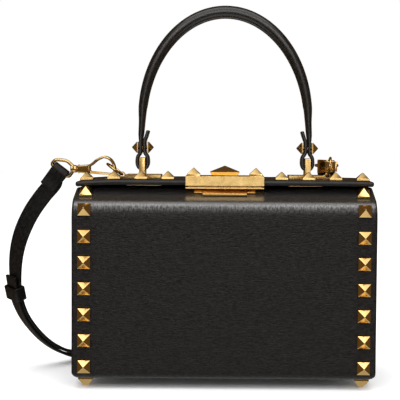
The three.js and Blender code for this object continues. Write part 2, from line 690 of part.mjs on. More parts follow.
// A hook's own frame: p runs from its neck to its nose, q across in the hook's plane, w along its
// band's width. The ring's centre lies at (atP, atQ): the left hook stands free in its ring, and
// the right one is pulled back in it.
function hookFrame(p, q, ring, atP, atQ) {
  const w = p.clone().cross(q);
  const origin = ring.centre.clone().addScaledVector(p, -atP).addScaledVector(q, -atQ);
  return new THREE.Matrix4().makeBasis(p, q, w).setPosition(origin);
}
const frameLeft = hookFrame(v3(1, 0, 0), v3(0, 0, 1), ringLeft, HOOK_REACH, 0);
const frameRight = hookFrame(v3(0, -1, 0), v3(-1, 0, 0), ringRight, HOOK_REACH + 2.5, 1.7);

// The band's centre line and width, as shares of the hook's reach, height and band width.
const BAND_ROWS = [
  { p: 0.28, q: 0.2, wide: 0.95 },
  { p: 0.4, q: 0.42, wide: 1.0 },
  { p: 0.54, q: 0.78, wide: 1.05 },
  { p: 0.72, q: 1.0, wide: 1.05 },
  { p: 0.87, q: 0.84, wide: 1.0 },
  { p: 0.97, q: 0.42, wide: 0.88 },
  { p: 1.0, q: 0.0, wide: 0.88 },
  { p: 0.985, q: -0.28, wide: 0.88 },
];
function hook() {
  const points = BAND_ROWS.map((r) => v3(r.p * HOOK_REACH, r.q * HOOK_HEIGHT, 0));
  const path = new THREE.CatmullRomCurve3(points, false, 'centripetal');
  const rings = [];
  const perRow = 4;
  const steps = (points.length - 1) * perRow;
  for (let i = 0; i <= steps; i++) {
    const low = Math.min(Math.floor(i / perRow), points.length - 2);
    const wide = BAND_ROWS[low].wide + (BAND_ROWS[low + 1].wide - BAND_ROWS[low].wide) * (i / perRow - low);
    const at = path.getPoint(i / steps);
    const side = v3(0, 0, 1).cross(path.getTangent(i / steps)).normalize();
    const ring = [];
    for (const [a, b] of [[-1, -1], [1, -1], [1, 1], [-1, 1]]) {
      ring.push(at.clone().addScaledVector(side, (a * HOOK_BAND_THICKNESS) / 2)
        .add(v3(0, 0, (b * wide * HOOK_BAND_WIDTH) / 2)));
    }
    rings.push(ring);
  }
  const band = skin(rings);
  const half = HOOK_NECK_HEIGHT / 2;
  const neck = skin([
    [v3(0, -half * 0.8, -2.9), v3(0, half * 0.8, -2.9), v3(0, half * 0.8, 2.9), v3(0, -half * 0.8, 2.9)],
    [v3(HOOK_NECK_LENGTH, -half, -HOOK_BAND_WIDTH / 2), v3(HOOK_NECK_LENGTH, half, -HOOK_BAND_WIDTH / 2),
      v3(HOOK_NECK_LENGTH, half, HOOK_BAND_WIDTH / 2), v3(HOOK_NECK_LENGTH, -half, HOOK_BAND_WIDTH / 2)],
  ]);
  const slot = box(GATE_PIVOT_P - 2.4, HOOK_NECK_LENGTH + 4, GATE_PIVOT_Q - 4, GATE_PIVOT_Q + 1.5,
    -GATE_WIDTH / 2 - GAP, GATE_WIDTH / 2 + GAP);
  const bore = rod('x', PIN_RADIUS + GAP, 2 * (PIN_LENGTH + GAP), 0, 0, 0, 12);
  const solid = manifoldOf(band).add(manifoldOf(neck)).subtract(manifoldOf(slot)).subtract(manifoldOf(bore));
  return geometryOf(solid);
}
piece('hook_left', hook().applyMatrix4(frameLeft), GOLD);
piece('hook_right', hook().applyMatrix4(frameRight), GOLD);

// The gate: a bar from its round pivot end to just inside the nose.
function gate() {
  const end = 0.985 * HOOK_REACH - HOOK_BAND_THICKNESS / 2 - GAP - GATE_PIVOT_P;
  const half = GATE_THICKNESS / 2;
  const bar = new THREE.Shape([
    new THREE.Vector2(0, -half), new THREE.Vector2(end, -half - GATE_DROP),
    new THREE.Vector2(end, half - GATE_DROP), new THREE.Vector2(0, half),
  ]);
  const g = new THREE.ExtrudeGeometry(bar, { depth: GATE_WIDTH, bevelEnabled: false })
    .translate(0, 0, -GATE_WIDTH / 2);
  return joined(g, rod('z', 1.1, GATE_WIDTH, 0, 0, 0, 12)).translate(GATE_PIVOT_P, GATE_PIVOT_Q, 0);
}
piece('gate_left', gate().applyMatrix4(frameLeft), GOLD);
piece('gate_right', gate().applyMatrix4(frameRight), GOLD);

// The strap ring's corners in the hook's plane, as shares of the strap bar's length. The bar runs
// from the first corner to the last. The left ring has swung round to follow the strap.
const RING_LEFT_ROWS = [
  { p: -1.2, q: 0.195 },
  { p: -1.014, q: 0.424 },
  { p: -0.486, q: 0.375 },
  { p: -0.104, q: 0.04 },
  { p: -0.403, q: -0.403 },
];
const RING_RIGHT_ROWS = [
  { p: -1.0, q: 0.5 },
  { p: -0.68, q: 0.5 },
  { p: -0.2, q: 0.24 },
  { p: -0.104, q: 0.0 },
  { p: -0.2, q: -0.24 },
  { p: -0.68, q: -0.5 },
  { p: -1.0, q: -0.5 },
];
// Round bars from corner to corner, closed, with a ball at each corner.
function barLoop(corners, radius) {
  const parts = [];
  corners.forEach((from, i) => {
    const to = corners[(i + 1) % corners.length];
    const along = to.clone().sub(from);
    const bar = new THREE.CylinderGeometry(radius, radius, along.length(), 8);
    const turn = new THREE.Quaternion().setFromUnitVectors(v3(0, 1, 0), along.clone().normalize());
    const middle = from.clone().lerp(to, 0.5);
    parts.push(bar.applyQuaternion(turn).translate(middle.x, middle.y, middle.z));
    parts.push(new THREE.SphereGeometry(radius, 8, 6).translate(from.x, from.y, from.z));
  });
  return joined(...parts);
}
function swivel(rows) {
  const corners = rows.map((r) => v3(r.p * STRAP_BAR, r.q * STRAP_BAR, 0));
  const ring = barLoop(corners, STRAP_RING_WIRE);
  const barrel = rod('x', BARREL_RADIUS, BARREL_LENGTH, -GAP - BARREL_LENGTH / 2, 0, 0);
  const pin = rod('x', PIN_RADIUS, PIN_LENGTH + 1, PIN_LENGTH / 2 - 0.5, 0, 0, 12);
  return joined(barrel, pin, ring);
}
piece('swivel_left', swivel(RING_LEFT_ROWS).applyMatrix4(frameLeft), GOLD);
piece('swivel_right', swivel(RING_RIGHT_ROWS).applyMatrix4(frameRight), GOLD);

// The middle and direction of a strap ring's bar, in the bag's frame.
function barOf(rows, frame) {
  const ends = [rows[0], rows[rows.length - 1]]
    .map((r) => v3(r.p * STRAP_BAR, r.q * STRAP_BAR, 0).applyMatrix4(frame));
  return { middle: ends[0].clone().lerp(ends[1], 0.5), along: ends[1].clone().sub(ends[0]).normalize() };
}
const barLeft = barOf(RING_LEFT_ROWS, frameLeft);
const barRight = barOf(RING_RIGHT_ROWS, frameRight);

// The strap's route, points chosen by hand: the middle of the piece from the left hook, and the
// direction of its width. x and y are shares of the box's half width and half depth, and z is the
// share of the way from the floor to the box's top. Past the box's side, x counts in box depths.
const SHORT_ROUTE = [
  { x: -1.184, y: 0.021, z: 1.002, wx: 0.8, wy: -0.05, wz: -0.6 },
  { x: -1.255, y: 0.031, z: 0.936, wx: 0.8, wy: -0.1, wz: -0.55 },
  { x: -1.333, y: 0.042, z: 0.853, wx: 0.84, wy: -0.2, wz: -0.5 },
  { x: -1.400, y: 0.052, z: 0.751, wx: 0.86, wy: -0.3, wz: -0.35 },
  { x: -1.440, y: 0.062, z: 0.648, wx: 0.84, wy: -0.5, wz: -0.15 },
  { x: -1.456, y: 0.094, z: 0.533, wx: 0.75, wy: -0.66, wz: 0 },
  { x: -1.450, y: 0.156, z: 0.423, wx: 0.62, wy: -0.78, wz: 0 },
  { x: -1.412, y: 0.250, z: 0.315, wx: 0.5, wy: -0.87, wz: 0 },
  { x: -1.345, y: 0.385, z: 0.220, wx: 0.45, wy: -0.89, wz: 0 },
  { x: -1.249, y: 0.583, z: 0.129, wx: 0.45, wy: -0.89, wz: 0 },
  { x: -1.119, y: 0.875, z: 0.058, wx: 0.55, wy: -0.83, wz: 0 },
  { x: -0.976, y: 1.250, z: 0.037, wx: 0.68, wy: -0.73, wz: 0 },
  { x: -0.860, y: 1.604, z: 0.041, wx: 0.78, wy: -0.62, wz: 0 },
  { x: -0.776, y: 1.979, z: 0.035, wx: 0.85, wy: -0.5, wz: 0 },
];
// The rest of the other piece's route on the floor, and up to the right hook.
const LONG_ROUTE = [
  { x: -0.693, y: 2.521, z: 0.011, wx: 0.97, wy: -0.25, wz: 0 },
  { x: -0.640, y: 3.167, z: 0.011, wx: 1, wy: -0.05, wz: 0 },
  { x: -0.567, y: 3.875, z: 0.011, wx: 0.92, wy: -0.4, wz: 0 },
  { x: -0.367, y: 4.521, z: 0.011, wx: 0.62, wy: -0.78, wz: 0 },
  { x: 0.000, y: 4.854, z: 0.011, wx: 0, wy: -1, wz: 0 },
  { x: 0.367, y: 4.604, z: 0.011, wx: -0.6, wy: -0.8, wz: 0 },
  { x: 0.598, y: 4.000, z: 0.011, wx: -0.9, wy: -0.43, wz: 0 },
  { x: 0.703, y: 3.292, z: 0.011, wx: -1, wy: -0.15, wz: 0 },
  { x: 0.735, y: 2.625, z: 0.017, wx: -1, wy: 0, wz: 0 },
  { x: 0.735, y: 2.083, z: 0.065, wx: -1, wy: 0, wz: 0 },
  { x: 0.724, y: 1.646, z: 0.187, wx: -1, wy: 0, wz: 0 },
  { x: 0.719, y: 1.375, z: 0.392, wx: -1, wy: 0, wz: 0 },
  { x: 0.719, y: 1.208, z: 0.628, wx: -1, wy: 0, wz: 0 },
  { x: 0.719, y: 1.062, z: 0.848, wx: -1, wy: 0, wz: 0 },
];
const LAYER = STRAP_THICKNESS + GAP;

// A flat strap along rows of { at, w }: w is the direction of its width.
function ribbon(rows, perRow = 3) {
  const path = new THREE.CatmullRomCurve3(rows.map((r) => r.at), false, 'centripetal');
  const rings = [];
  const steps = (rows.length - 1) * perRow;
  for (let i = 0; i <= steps; i++) {
    const low = Math.min(Math.floor(i / perRow), rows.length - 2);
    const tangent = path.getTangent(i / steps);
    const w = rows[low].w.clone().lerp(rows[low + 1].w, i / perRow - low);
    w.addScaledVector(tangent, -w.dot(tangent)).normalize();
    const face = tangent.clone().cross(w);
    const at = path.getPoint(i / steps);
    const ring = [];
    for (const [a, b] of [[-1, -1], [1, -1], [1, 1], [-1, 1]]) {
      ring.push(at.clone().addScaledVector(w, (a * STRAP_WIDTH) / 2)
        .addScaledVector(face, (b * STRAP_THICKNESS) / 2));
    }
    rings.push(ring);
  }
  return skin(rings);
}

// Rows that wrap a strap round a ring's bar: from its stitched tab, over the bar, to the side
// where the strap leaves. down is the strap's way from the bar, front the side of the tab.
function foldRows(bar, down, front) {
  const rows = [];
  const add = (along, out) => rows.push({
    at: bar.middle.clone().addScaledVector(down, along).addScaledVector(front, out),
    w: bar.along.clone(),
  });
  add(STRAP_TAB, LAYER / 2);
  add(STRAP_TAB * 0.55, LAYER / 2 + 0.2);
  for (let i = 0; i <= 4; i++) {
    const a = (i / 4) * Math.PI;
    add(-STRAP_FOLD_RADIUS * Math.sin(a), STRAP_FOLD_RADIUS * Math.cos(a));
  }
  add(STRAP_TAB * 0.55, -LAYER / 2 - 0.2);
  return rows;
}
function routeRow(r) {
  const along = (Math.min(Math.abs(r.x), 1) * BODY_WIDTH) / 2;
  const beyond = Math.max(Math.abs(r.x) - 1, 0) * BODY_DEPTH;
  return {
    at: v3(Math.sign(r.x) * (along + beyond), r.y * HALF_DEPTH, FLOOR + r.z * (BODY_TOP - FLOOR)),
    w: v3(r.wx, r.wy, r.wz),
  };
}

const downLeft = barLeft.along.clone().cross(v3(0, 1, 0)).normalize();
if (downLeft.z > 0) downLeft.negate();
const shortRows = SHORT_ROUTE.map(routeRow);
piece('strap_short', ribbon([...foldRows(barLeft, downLeft, v3(0, -1, 0)), ...shortRows]), LEATHER);

// The layer outside a row of the short piece, on the face away from the bag.
function outsideRows(from, to) {
  const path = new THREE.CatmullRomCurve3(shortRows.map((r) => r.at), false, 'centripetal');
  const rows = [];
  for (let i = from; i <= to; i++) {
    const tangent = path.getTangent(i / (shortRows.length - 1));
    const face = tangent.clone().cross(shortRows[i].w).normalize();
    rows.push({ at: shortRows[i].at.clone().addScaledVector(face, LAYER), w: shortRows[i].w });
  }
  return rows;
}
const KEEPER_ROW = 6;
const BUCKLE_ROW = 12;
const doubled = outsideRows(KEEPER_ROW, shortRows.length - 1);
const tipWay = shortRows[KEEPER_ROW - 1].at.clone().sub(shortRows[KEEPER_ROW].at).normalize();
const tipOut = doubled[0].at.clone().sub(shortRows[KEEPER_ROW].at).normalize();
const tipRow = {
  at: doubled[0].at.clone().addScaledVector(tipWay, KEEPER_LENGTH / 2 + TIP_PAST_KEEPER).addScaledVector(tipOut, 1.2),
  w: doubled[0].w,
};
const downRight = v3(0, 0.15, -1).normalize();
const riseRows = foldRows(barRight, downRight, v3(0, -1, 0)).reverse();
piece('strap_long', ribbon([tipRow, ...doubled, ...LONG_ROUTE.map(routeRow), ...riseRows]), LEATHER);

// A rectangular band round both layers of the strap at a row of the short piece.
function strapBand(row, length, wall) {
  const path = new THREE.CatmullRomCurve3(shortRows.map((r) => r.at), false, 'centripetal');
  const tangent = path.getTangent(row / (shortRows.length - 1));
  const w = shortRows[row].w.clone();
  w.addScaledVector(tangent, -w.dot(tangent)).normalize();
  const face = tangent.clone().cross(w).normalize();
  const halfWide = STRAP_WIDTH / 2 + GAP * 2;
  const halfThick = LAYER + GAP;
  const outer = new THREE.BoxGeometry(2 * (halfWide + wall), 2 * (halfThick + wall), length);
  const inner = new THREE.BoxGeometry(2 * halfWide, 2 * halfThick, length * 2);
  const place = new THREE.Matrix4().makeBasis(w, face, w.clone().cross(face))
    .setPosition(shortRows[row].at.clone().addScaledVector(face, LAYER / 2));
  return cut(outer, inner).applyMatrix4(place);
}
piece('keeper', strapBand(KEEPER_ROW, KEEPER_LENGTH, KEEPER_WALL), LEATHER);
piece('buckle', strapBand(BUCKLE_ROW, BUCKLE_LENGTH, BUCKLE_WALL), GOLD);

export default group;
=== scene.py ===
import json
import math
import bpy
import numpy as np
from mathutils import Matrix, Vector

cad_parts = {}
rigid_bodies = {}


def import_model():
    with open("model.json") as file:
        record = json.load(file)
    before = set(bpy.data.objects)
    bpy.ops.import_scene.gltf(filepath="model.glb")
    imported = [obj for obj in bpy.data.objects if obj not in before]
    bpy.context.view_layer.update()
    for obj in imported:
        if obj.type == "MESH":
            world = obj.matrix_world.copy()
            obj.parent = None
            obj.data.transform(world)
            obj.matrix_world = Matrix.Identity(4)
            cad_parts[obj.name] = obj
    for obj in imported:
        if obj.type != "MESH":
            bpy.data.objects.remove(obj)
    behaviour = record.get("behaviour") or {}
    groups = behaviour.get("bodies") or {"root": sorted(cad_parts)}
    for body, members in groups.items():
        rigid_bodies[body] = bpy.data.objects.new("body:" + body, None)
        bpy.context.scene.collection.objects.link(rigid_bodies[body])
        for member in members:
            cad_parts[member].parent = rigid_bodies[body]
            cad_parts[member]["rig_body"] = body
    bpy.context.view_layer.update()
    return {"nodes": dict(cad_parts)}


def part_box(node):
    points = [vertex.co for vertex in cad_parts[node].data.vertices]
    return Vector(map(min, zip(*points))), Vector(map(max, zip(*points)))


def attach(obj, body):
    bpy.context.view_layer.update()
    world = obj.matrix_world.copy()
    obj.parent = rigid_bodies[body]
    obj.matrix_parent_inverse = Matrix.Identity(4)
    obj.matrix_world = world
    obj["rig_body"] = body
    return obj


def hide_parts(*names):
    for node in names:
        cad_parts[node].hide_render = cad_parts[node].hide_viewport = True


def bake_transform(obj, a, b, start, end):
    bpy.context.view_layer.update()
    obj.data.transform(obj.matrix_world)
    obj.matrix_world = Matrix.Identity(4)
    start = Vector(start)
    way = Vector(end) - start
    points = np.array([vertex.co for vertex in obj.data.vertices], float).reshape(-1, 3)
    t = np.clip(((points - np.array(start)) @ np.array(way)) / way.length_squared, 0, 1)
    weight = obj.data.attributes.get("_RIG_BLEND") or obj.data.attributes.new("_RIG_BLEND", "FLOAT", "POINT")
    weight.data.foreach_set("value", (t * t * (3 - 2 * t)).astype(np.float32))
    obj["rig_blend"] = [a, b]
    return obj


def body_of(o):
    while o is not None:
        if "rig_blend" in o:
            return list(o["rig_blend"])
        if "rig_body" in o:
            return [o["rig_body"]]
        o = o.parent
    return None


bl_info = {
    "name": "Box bag",
    "version": (1, 0, 0),
    "blender": (4, 5, 0),
    "location": "View3D > Sidebar > Box bag",
    "description": "Dresses a structured leather box bag with studs, a turn knob clasp and a strap",
    "category": "Object",
}

import bmesh
import bpy
import numpy as np
from mathutils import Matrix, Vector

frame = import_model()

MM = 0.001


def span(node):
    """The lowest and highest corner of a CAD node, in millimetres."""
    low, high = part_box(node)
    return np.array(low) / MM, np.array(high) / MM


# Driving sizes and places, read from the frame, in millimetres
BODY_HIGH = span("body_shell")[1]
LID_LOW, LID_HIGH = span("lid")
RIVET_LOW, RIVET_HIGH = span("rivet_right")
HALF_WIDTH = float(BODY_HIGH[0])
HALF_DEPTH = float(BODY_HIGH[1])
LID_HALF_WIDTH = float(LID_HIGH[0])
LID_TOP = float(LID_HIGH[2])
STAPLE_X = float(RIVET_LOW[0] + RIVET_HIGH[0]) / 2
RIVET_Z = float(RIVET_LOW[2] + RIVET_HIGH[2]) / 2
FLOOR_Z = float(span("foot_front_left")[0][2])

# Fit between touching pieces, in millimetres
GAP = 0.3

# The box's lips and the drooping ends of lid and lips, in millimetres
LIP_TOP = 121.3
TOP_CORNER_INSET = 1.8
DROOP_SPAN = 32.2
DROOP_LEFT = 1.4
DROOP_RIGHT = 0.4
FRONT_DIP = 2.2
RIM_CROWN = 0.12

# Inner corners of the wall, and the lowest height where the faces of a side gather
INNER_EDGE = 0.5
GATHER_HEIGHT = 20.0

# Rows of the box's grid on the slope, the shoulder's arc, the front, the bottom arc and the underside
OUTLINE_ROWS = (8, 14, 44, 8, 18)

# The base panel, in millimetres
BASE_RELIEF = 0.4
PANEL_HALF_WIDTH = 80.8
PANEL_HALF_DEPTH = 41.0
PANEL_THICKNESS = 1.5
PANEL_EDGE = 0.5

# How far the back's leather is moved on the map, so that it doesn't repeat the front's
BACK_MAP_SHIFT = 400.0

# Rounding of the open ends of the hinge roll, the handle, its seam, the hooks' bands and the strap
HINGE_ROUND = 1.0
HANDLE_ROUND = 0.7
SEAM_ROUND = 0.4
BAND_ROUND = 0.5
STRAP_ROUND = 0.5

# Free tips of the handle: share of the loop's half width outwards, and of the tip's rise
TIP_ROWS = np.array([(-0.98, 1.0), (-0.66, 0.66)])

# Where a loop turns into the roll: the same two shares, and the share of the roll's end thickness
JOIN_SHARES = (0.3, 0.8, 0.85)

# How soon the roll swells up the arch, and its corner radii at the loops, the turn and the top
SWELL_POWER = 0.52
HANDLE_CORNERS = (0.75, 1.9, 4.0)

# The seam inside the arch: its start above the arch's base, how deep it is set, and its section
SEAM_START = 8.0
SEAM_SINK = 0.25
SEAM_WIDTH = 1.6
SEAM_HEIGHT = 1.0
SEAM_CORNER = 0.45

# Share of the loop's half width outwards, and of the height up to the rivet
LOOP_ROWS = np.array([
    (-0.37, 1.28), (-0.37, 1.0), (-0.42, 0.76), (-0.86, 0.58), (-1.0, 0.4), (-0.95, 0.2),
    (-0.6, 0.04), (0.0, 0.0), (0.6, 0.04), (0.95, 0.2), (1.0, 0.4), (0.86, 0.58), (0.42, 0.76),
    (0.37, 1.0), (0.37, 1.28),
])

# Share of a hook's reach, of its height, and of its band width
BAND_ROWS = np.array([
    (0.28, 0.2, 0.95), (0.4, 0.42, 1.0), (0.54, 0.78, 1.05), (0.72, 1.0, 1.05), (0.87, 0.84, 1.0),
    (0.97, 0.42, 0.88), (1.0, 0.0, 0.88), (0.985, -0.28, 0.88),
])

# Corners of the strap rings, as shares of the strap bar's length along and across the hook
RING_ROWS = {
    "left": np.array([
        (-1.2, 0.195), (-1.014, 0.424), (-0.486, 0.375), (-0.104, 0.04), (-0.403, -0.403),
    ]),
    "right": np.array([
        (-1.0, 0.5), (-0.68, 0.5), (-0.2, 0.24), (-0.104, 0.0), (-0.2, -0.24), (-0.68, -0.5), (-1.0, -0.5),
    ]),
}
RING_CORNER = 2.2

# The neck block where it leaves the swivel, and how much thicker it is at the band
NECK_HALF_HEIGHT = 3.0
NECK_WIDTH = 5.8
NECK_THICKNESS = 4.8
NECK_GROWTH = 1.2
NECK_CORNER = 0.9
NECK_ROUND = 0.7

# Turned pieces on the neck, from the swivel: radius and height of the collar and of the pin, and
# for the barrel how far it lies inside its radius
COLLAR_ROWS = np.array([(2.6, 0.4), (2.9, 0.7), (2.9, 1.3), (2.6, 1.6)])
PIN_ROWS = np.array([(1.2, -1.0), (1.2, 3.6), (0.9, 4.0)])
BARREL_ROWS = np.array([
    (0.6, -4.5), (0.2, -4.3), (0.0, -3.9), (0.0, -3.4), (0.25, -3.1), (0.25, -2.8), (0.0, -2.5),
    (0.0, -0.9), (0.2, -0.5), (0.6, -0.3),
])

# How far the lug rings lean outwards from upright
RING_LEAN = {"left": math.radians(-55.0), "right": math.radians(9.0)}

# The strap's route: x as a share of the half width, and past the side in box depths, y as a share
# of the half depth, z from the floor to the lip, and the direction of its width
SHORT_ROUTE = np.array([
    (-1.184, 0.021, 1.002, 0.8, -0.05, -0.6),
    (-1.255, 0.031, 0.936, 0.8, -0.1, -0.55),
    (-1.333, 0.042, 0.853, 0.84, -0.2, -0.5),
    (-1.400, 0.052, 0.751, 0.86, -0.3, -0.35),
    (-1.440, 0.062, 0.648, 0.84, -0.5, -0.15),
    (-1.456, 0.094, 0.533, 0.75, -0.66, 0.0),
    (-1.450, 0.156, 0.423, 0.62, -0.78, 0.0),
    (-1.412, 0.250, 0.315, 0.5, -0.87, 0.0),
    (-1.345, 0.385, 0.220, 0.45, -0.89, 0.0),
    (-1.249, 0.583, 0.129, 0.45, -0.89, 0.0),
    (-1.119, 0.875, 0.058, 0.55, -0.83, 0.0),
    (-0.976, 1.250, 0.037, 0.68, -0.73, 0.0),
    (-0.860, 1.604, 0.041, 0.78, -0.62, 0.0),
    (-0.776, 1.979, 0.035, 0.85, -0.5, 0.0),
])
LONG_ROUTE = np.array([
    (-0.693, 2.521, 0.011, 0.97, -0.25, 0.0),
    (-0.640, 3.167, 0.011, 1.0, -0.05, 0.0),
    (-0.567, 3.875, 0.011, 0.92, -0.4, 0.0),
    (-0.367, 4.521, 0.011, 0.62, -0.78, 0.0),
    (0.000, 4.854, 0.011, 0.0, -1.0, 0.0),
    (0.367, 4.604, 0.011, -0.6, -0.8, 0.0),
    (0.598, 4.000, 0.011, -0.9, -0.43, 0.0),
    (0.703, 3.292, 0.011, -1.0, -0.15, 0.0),
    (0.735, 2.625, 0.017, -1.0, 0.0, 0.0),
    (0.735, 2.083, 0.065, -1.0, 0.0, 0.0),
    (0.724, 1.646, 0.187, -1.0, 0.0, 0.0),
    (0.719, 1.375, 0.392, -1.0, 0.0, 0.0),
    (0.719, 1.208, 0.628, -1.0, 0.0, 0.0),
    (0.719, 1.062, 0.848, -1.0, 0.0, 0.0),
])
KEEPER_ROW = 6
STRAP_STEPS = 9

# The folds at the rings: share of the tab where the layers lie apart, and how far they do
FOLD_SHARE = 0.55
FOLD_SPREAD = 0.2

# Direction of the tab at the right ring, the lift of the free tip, and the keeper's corners
RIGHT_TAB_WAY = (0.0, 0.15, -1.0)
TIP_LIFT = 1.2
KEEPER_TURN = 1.6
KEEPER_EDGE = 0.45
BUCKLE_EDGE = 0.3

# Heights between which the straps bend when the lid opens, in metres. The long one bends above the
# hinge line, because with a lower bend it would cut through the back wall.
SHORT_BEND = (0.05, 0.12)
LONG_BEND = (0.114, 0.13)

# Noises of the grain and the polish: stretch, scale, detail and distortion
GRAIN_STROKES = ((0.22, 0.8, 1.0), 1700.0, 2.0, 0.8)
GRAIN_CROSS = ((1.6, 0.42, 1.0), 800.0, 2.0, 0.5)
GRAIN_PATCHES = ((0.6, 1.0, 1.0), 60.0, 3.0, 0.2)
POLISH_HAIR = ((1.0, 1.0, 0.35), 900.0, 2.0, 0.0)
POLISH_PATCHES = ((1.0, 1.0, 1.0), 240.0, 3.0, 0.3)

# The grain's levels: share of the cross grain, and where peaks and creases come in. The peaks carry the
# painted sheen in the leather's colour.
CROSS_SHARE = 0.35
PEAKS_BAND = (0.58, 0.84)
CREASES_BAND = (0.42, 0.6)
CREASES_LEVEL = 2.2
GRAIN_DEPTH = 0.0007

# Each leather's roughness, strength of grain, specular level and coordinates
LEATHERS = {
    "box": (0.35, 0.8, 0.34, "UV"),
    "lid": (0.4, 0.2, 0.6, "UV"),
    "strap": (0.34, 0.1, 0.28, "UV"),
    "handle": (0.27, 0.08, 0.8, "UV"),
    "hinge": (0.5, 0.8, 0.34, "Object"),
}
PATCH_GLOSS = 0.1
INSIDE_ROUGHER = 0.4

# The slope under the lid's edge: heights over which its grain turns flat and shiny, how much
# smoother and flatter it is, and its coat
SLOPE_FROM = 104.3
SLOPE_TO = 112.0
SLOPE_SMOOTHER = 0.2
SLOPE_FLATTER = 0.75
COAT_IOR = 2.3
COAT_ROUGHNESS = 0.24

# The metal's roughness on round pieces and on plates, its patches and its fine bump
GOLD_GLOSS = 0.16
PLATE_GLOSS = 0.24
GOLD_TONES = (-0.3, 0.75)
GOLD_DULLING = (-0.06, 0.08)
GOLD_BUMP = 0.04
GOLD_BUMP_DEPTH = 0.0001

# Strength of the light from all round: behind the bag, on matt surfaces, and in reflections from
# the room, the table and the wall in front
BACKDROP_LIGHT = 1.0
SOFT_LIGHT = 1.3
ROOM_LIGHT = 0.105
TABLE_LIGHT = 0.7
WALL_LIGHT = 1.8
ROOM_TONE = (1.0, 0.66, 0.34, 1.0)
WHITE = (1.0, 1.0, 1.0, 1.0)

# Where table and wall come in, as the share of a direction that points down or at the wall, and
# how far above level the wall has its middle
TABLE_BAND = (0.5, 0.74)
TABLE_FADE_BAND = (0.8, 0.98)
TABLE_FADE = 0.5
WALL_BAND = (0.9865, 0.9965)
WALL_RISE = math.radians(2.2)
WHITE_BAND = (0.0, 0.4)

# Panel lights: name, place, width and height, and power. All face the same point.
PANELS = (
    ("top panel", (0, -0.65, 1.35), (1.9, 1.5), 9.6),
    ("shoulder panel", (0, -0.44, 1.33), (1.5, 0.26), 1.8),
    ("front panel", (0, -1.25, 0.64), (1.3, 0.2), 3.2),
)
PANEL_TARGET = (0, 0, 0.1)

# The camera's sensor in millimetres and its sideways shift
SENSOR_WIDTH = 36.0
CAMERA_SHIFT = -0.0617

# The floor's finish, and how far under the feet it lies
FLOOR_GREY = 0.92
FLOOR_ROUGHNESS = 0.9
FLOOR_SHINE = 0.1
FLOOR_GAP = 0.05

# Distances at which points are merged and slivers dissolved, in metres
WELD = 2e-6
SLIVER = 1e-7

# A rounded corner takes at most this share of the shorter of its two sides, and an open end of a
# carried profile is rounded in so many steps
CORNER_SHARE = 0.45
END_STEPS = 4

# Rounded metal: segments of the bevel, the angle above which an edge gets one, the angle up to
# which faces are joined, and the one up to which they are shaded smoothly, in degrees
BEVEL_SEGMENTS = 3
BEVEL_ANGLE = math.radians(25.0)
JOINED_ANGLE = math.radians(1.0)
METAL_SHARP = 60.0


def length_property(name, description, millimetres):
    """A size that is shown and stored in metres, given here in millimetres."""
    return bpy.props.FloatProperty(
        name=name, description=description, default=millimetres * MM, min=0.0, unit="LENGTH", precision=5)


def colour_property(name, description, colour):
    """A colour with its default."""
    return bpy.props.FloatVectorProperty(
        name=name, description=description, default=colour, size=4, min=0.0, max=1.0, subtype="COLOR")


class BoxShape(bpy.types.PropertyGroup):
    """Sizes of the hollow box and its lid."""

    wall: length_property("Wall", "Thickness of the box's wall", 2.4)
    shoulder_start: length_property("Shoulder start", "Height where the front turns back", 101.0)
    shoulder_radius: length_property("Shoulder radius", "Radius of that turn", 14.0)
    slope: bpy.props.FloatProperty(
        name="Slope", description="Angle of the shoulder above level", default=math.radians(35),
        subtype="ANGLE")
    bottom_radius: length_property("Bottom radius", "Radius along the bottom edges", 5.0)
    side_corner: length_property("Side corner", "Radius of the bottom corners, from the front", 4.0)
    edge: length_property("Edge rounding", "Rounding along the vertical edges", 1.7)
    lid_end: length_property("Lid end rounding", "Rounding of the lid's two ends", 1.4)
    hinge_radius: length_property("Hinge roll", "Radius of the roll behind the lid", 1.8)


class HandleShape(bpy.types.PropertyGroup):
    """Sizes of the rolled handle."""

    rise: length_property("Arch rise", "Height of the arch above its straight part", 71.8)
    base: length_property("Arch base", "Height of the arch's base above the rivets", 17.0)
    spread: length_property("Arch spread", "How far the arch stands outside the staples", 0.5)
    thick_top: length_property("Thickness at the top", "Thickness of the roll at the top", 8.2)
    thick_end: length_property("Thickness at the ends", "Thickness where the roll turns flat", 4.0)
    strap_width: length_property("End width", "Width of the flat looped ends", 11.0)
    width_top: length_property("Roll width", "Width of the roll at the top", 10.5)
    strap_thickness: length_property("End thickness", "Thickness of the looped ends", 2.1)
    loop_half_width: length_property("Loop half width", "Half the width of the end loops", 3.5)
    loop_bottom: length_property("Loop bottom", "Height of the middle of the loop's lowest run", 131.0)
    tip_rise: length_property("Tip rise", "Height of the free tips above the rivets", 10.5)


class HookShape(bpy.types.PropertyGroup):
    """Sizes of the snap hooks, their rings and swivels."""

    reach: length_property("Reach", "From the neck to the nose", 24.7)
    height: length_property("Height", "Height of the curved band", 7.9)
    band_width: length_property("Band width", "Width of the curved band", 8.6)
    band_thickness: length_property("Band thickness", "Thickness of the curved band", 1.5)
    neck: length_property("Neck", "Length of the neck block", 8.7)
    ring_radius: length_property("Ring radius", "Radius of the lug rings", 6.0)
    ring_wire: length_property("Ring wire", "Half the thickness of the lug rings' wire", 0.8)
    bar: length_property("Strap bar", "Length of the strap ring's bar", 14.4)
    strap_wire: length_property("Strap ring wire", "Half the thickness of the strap ring's wire", 1.1)
    barrel: length_property("Barrel", "Radius of the swivel's barrel", 2.5)
    edge: length_property("Metal edge", "Rounding of the plates and pyramids", 0.28)


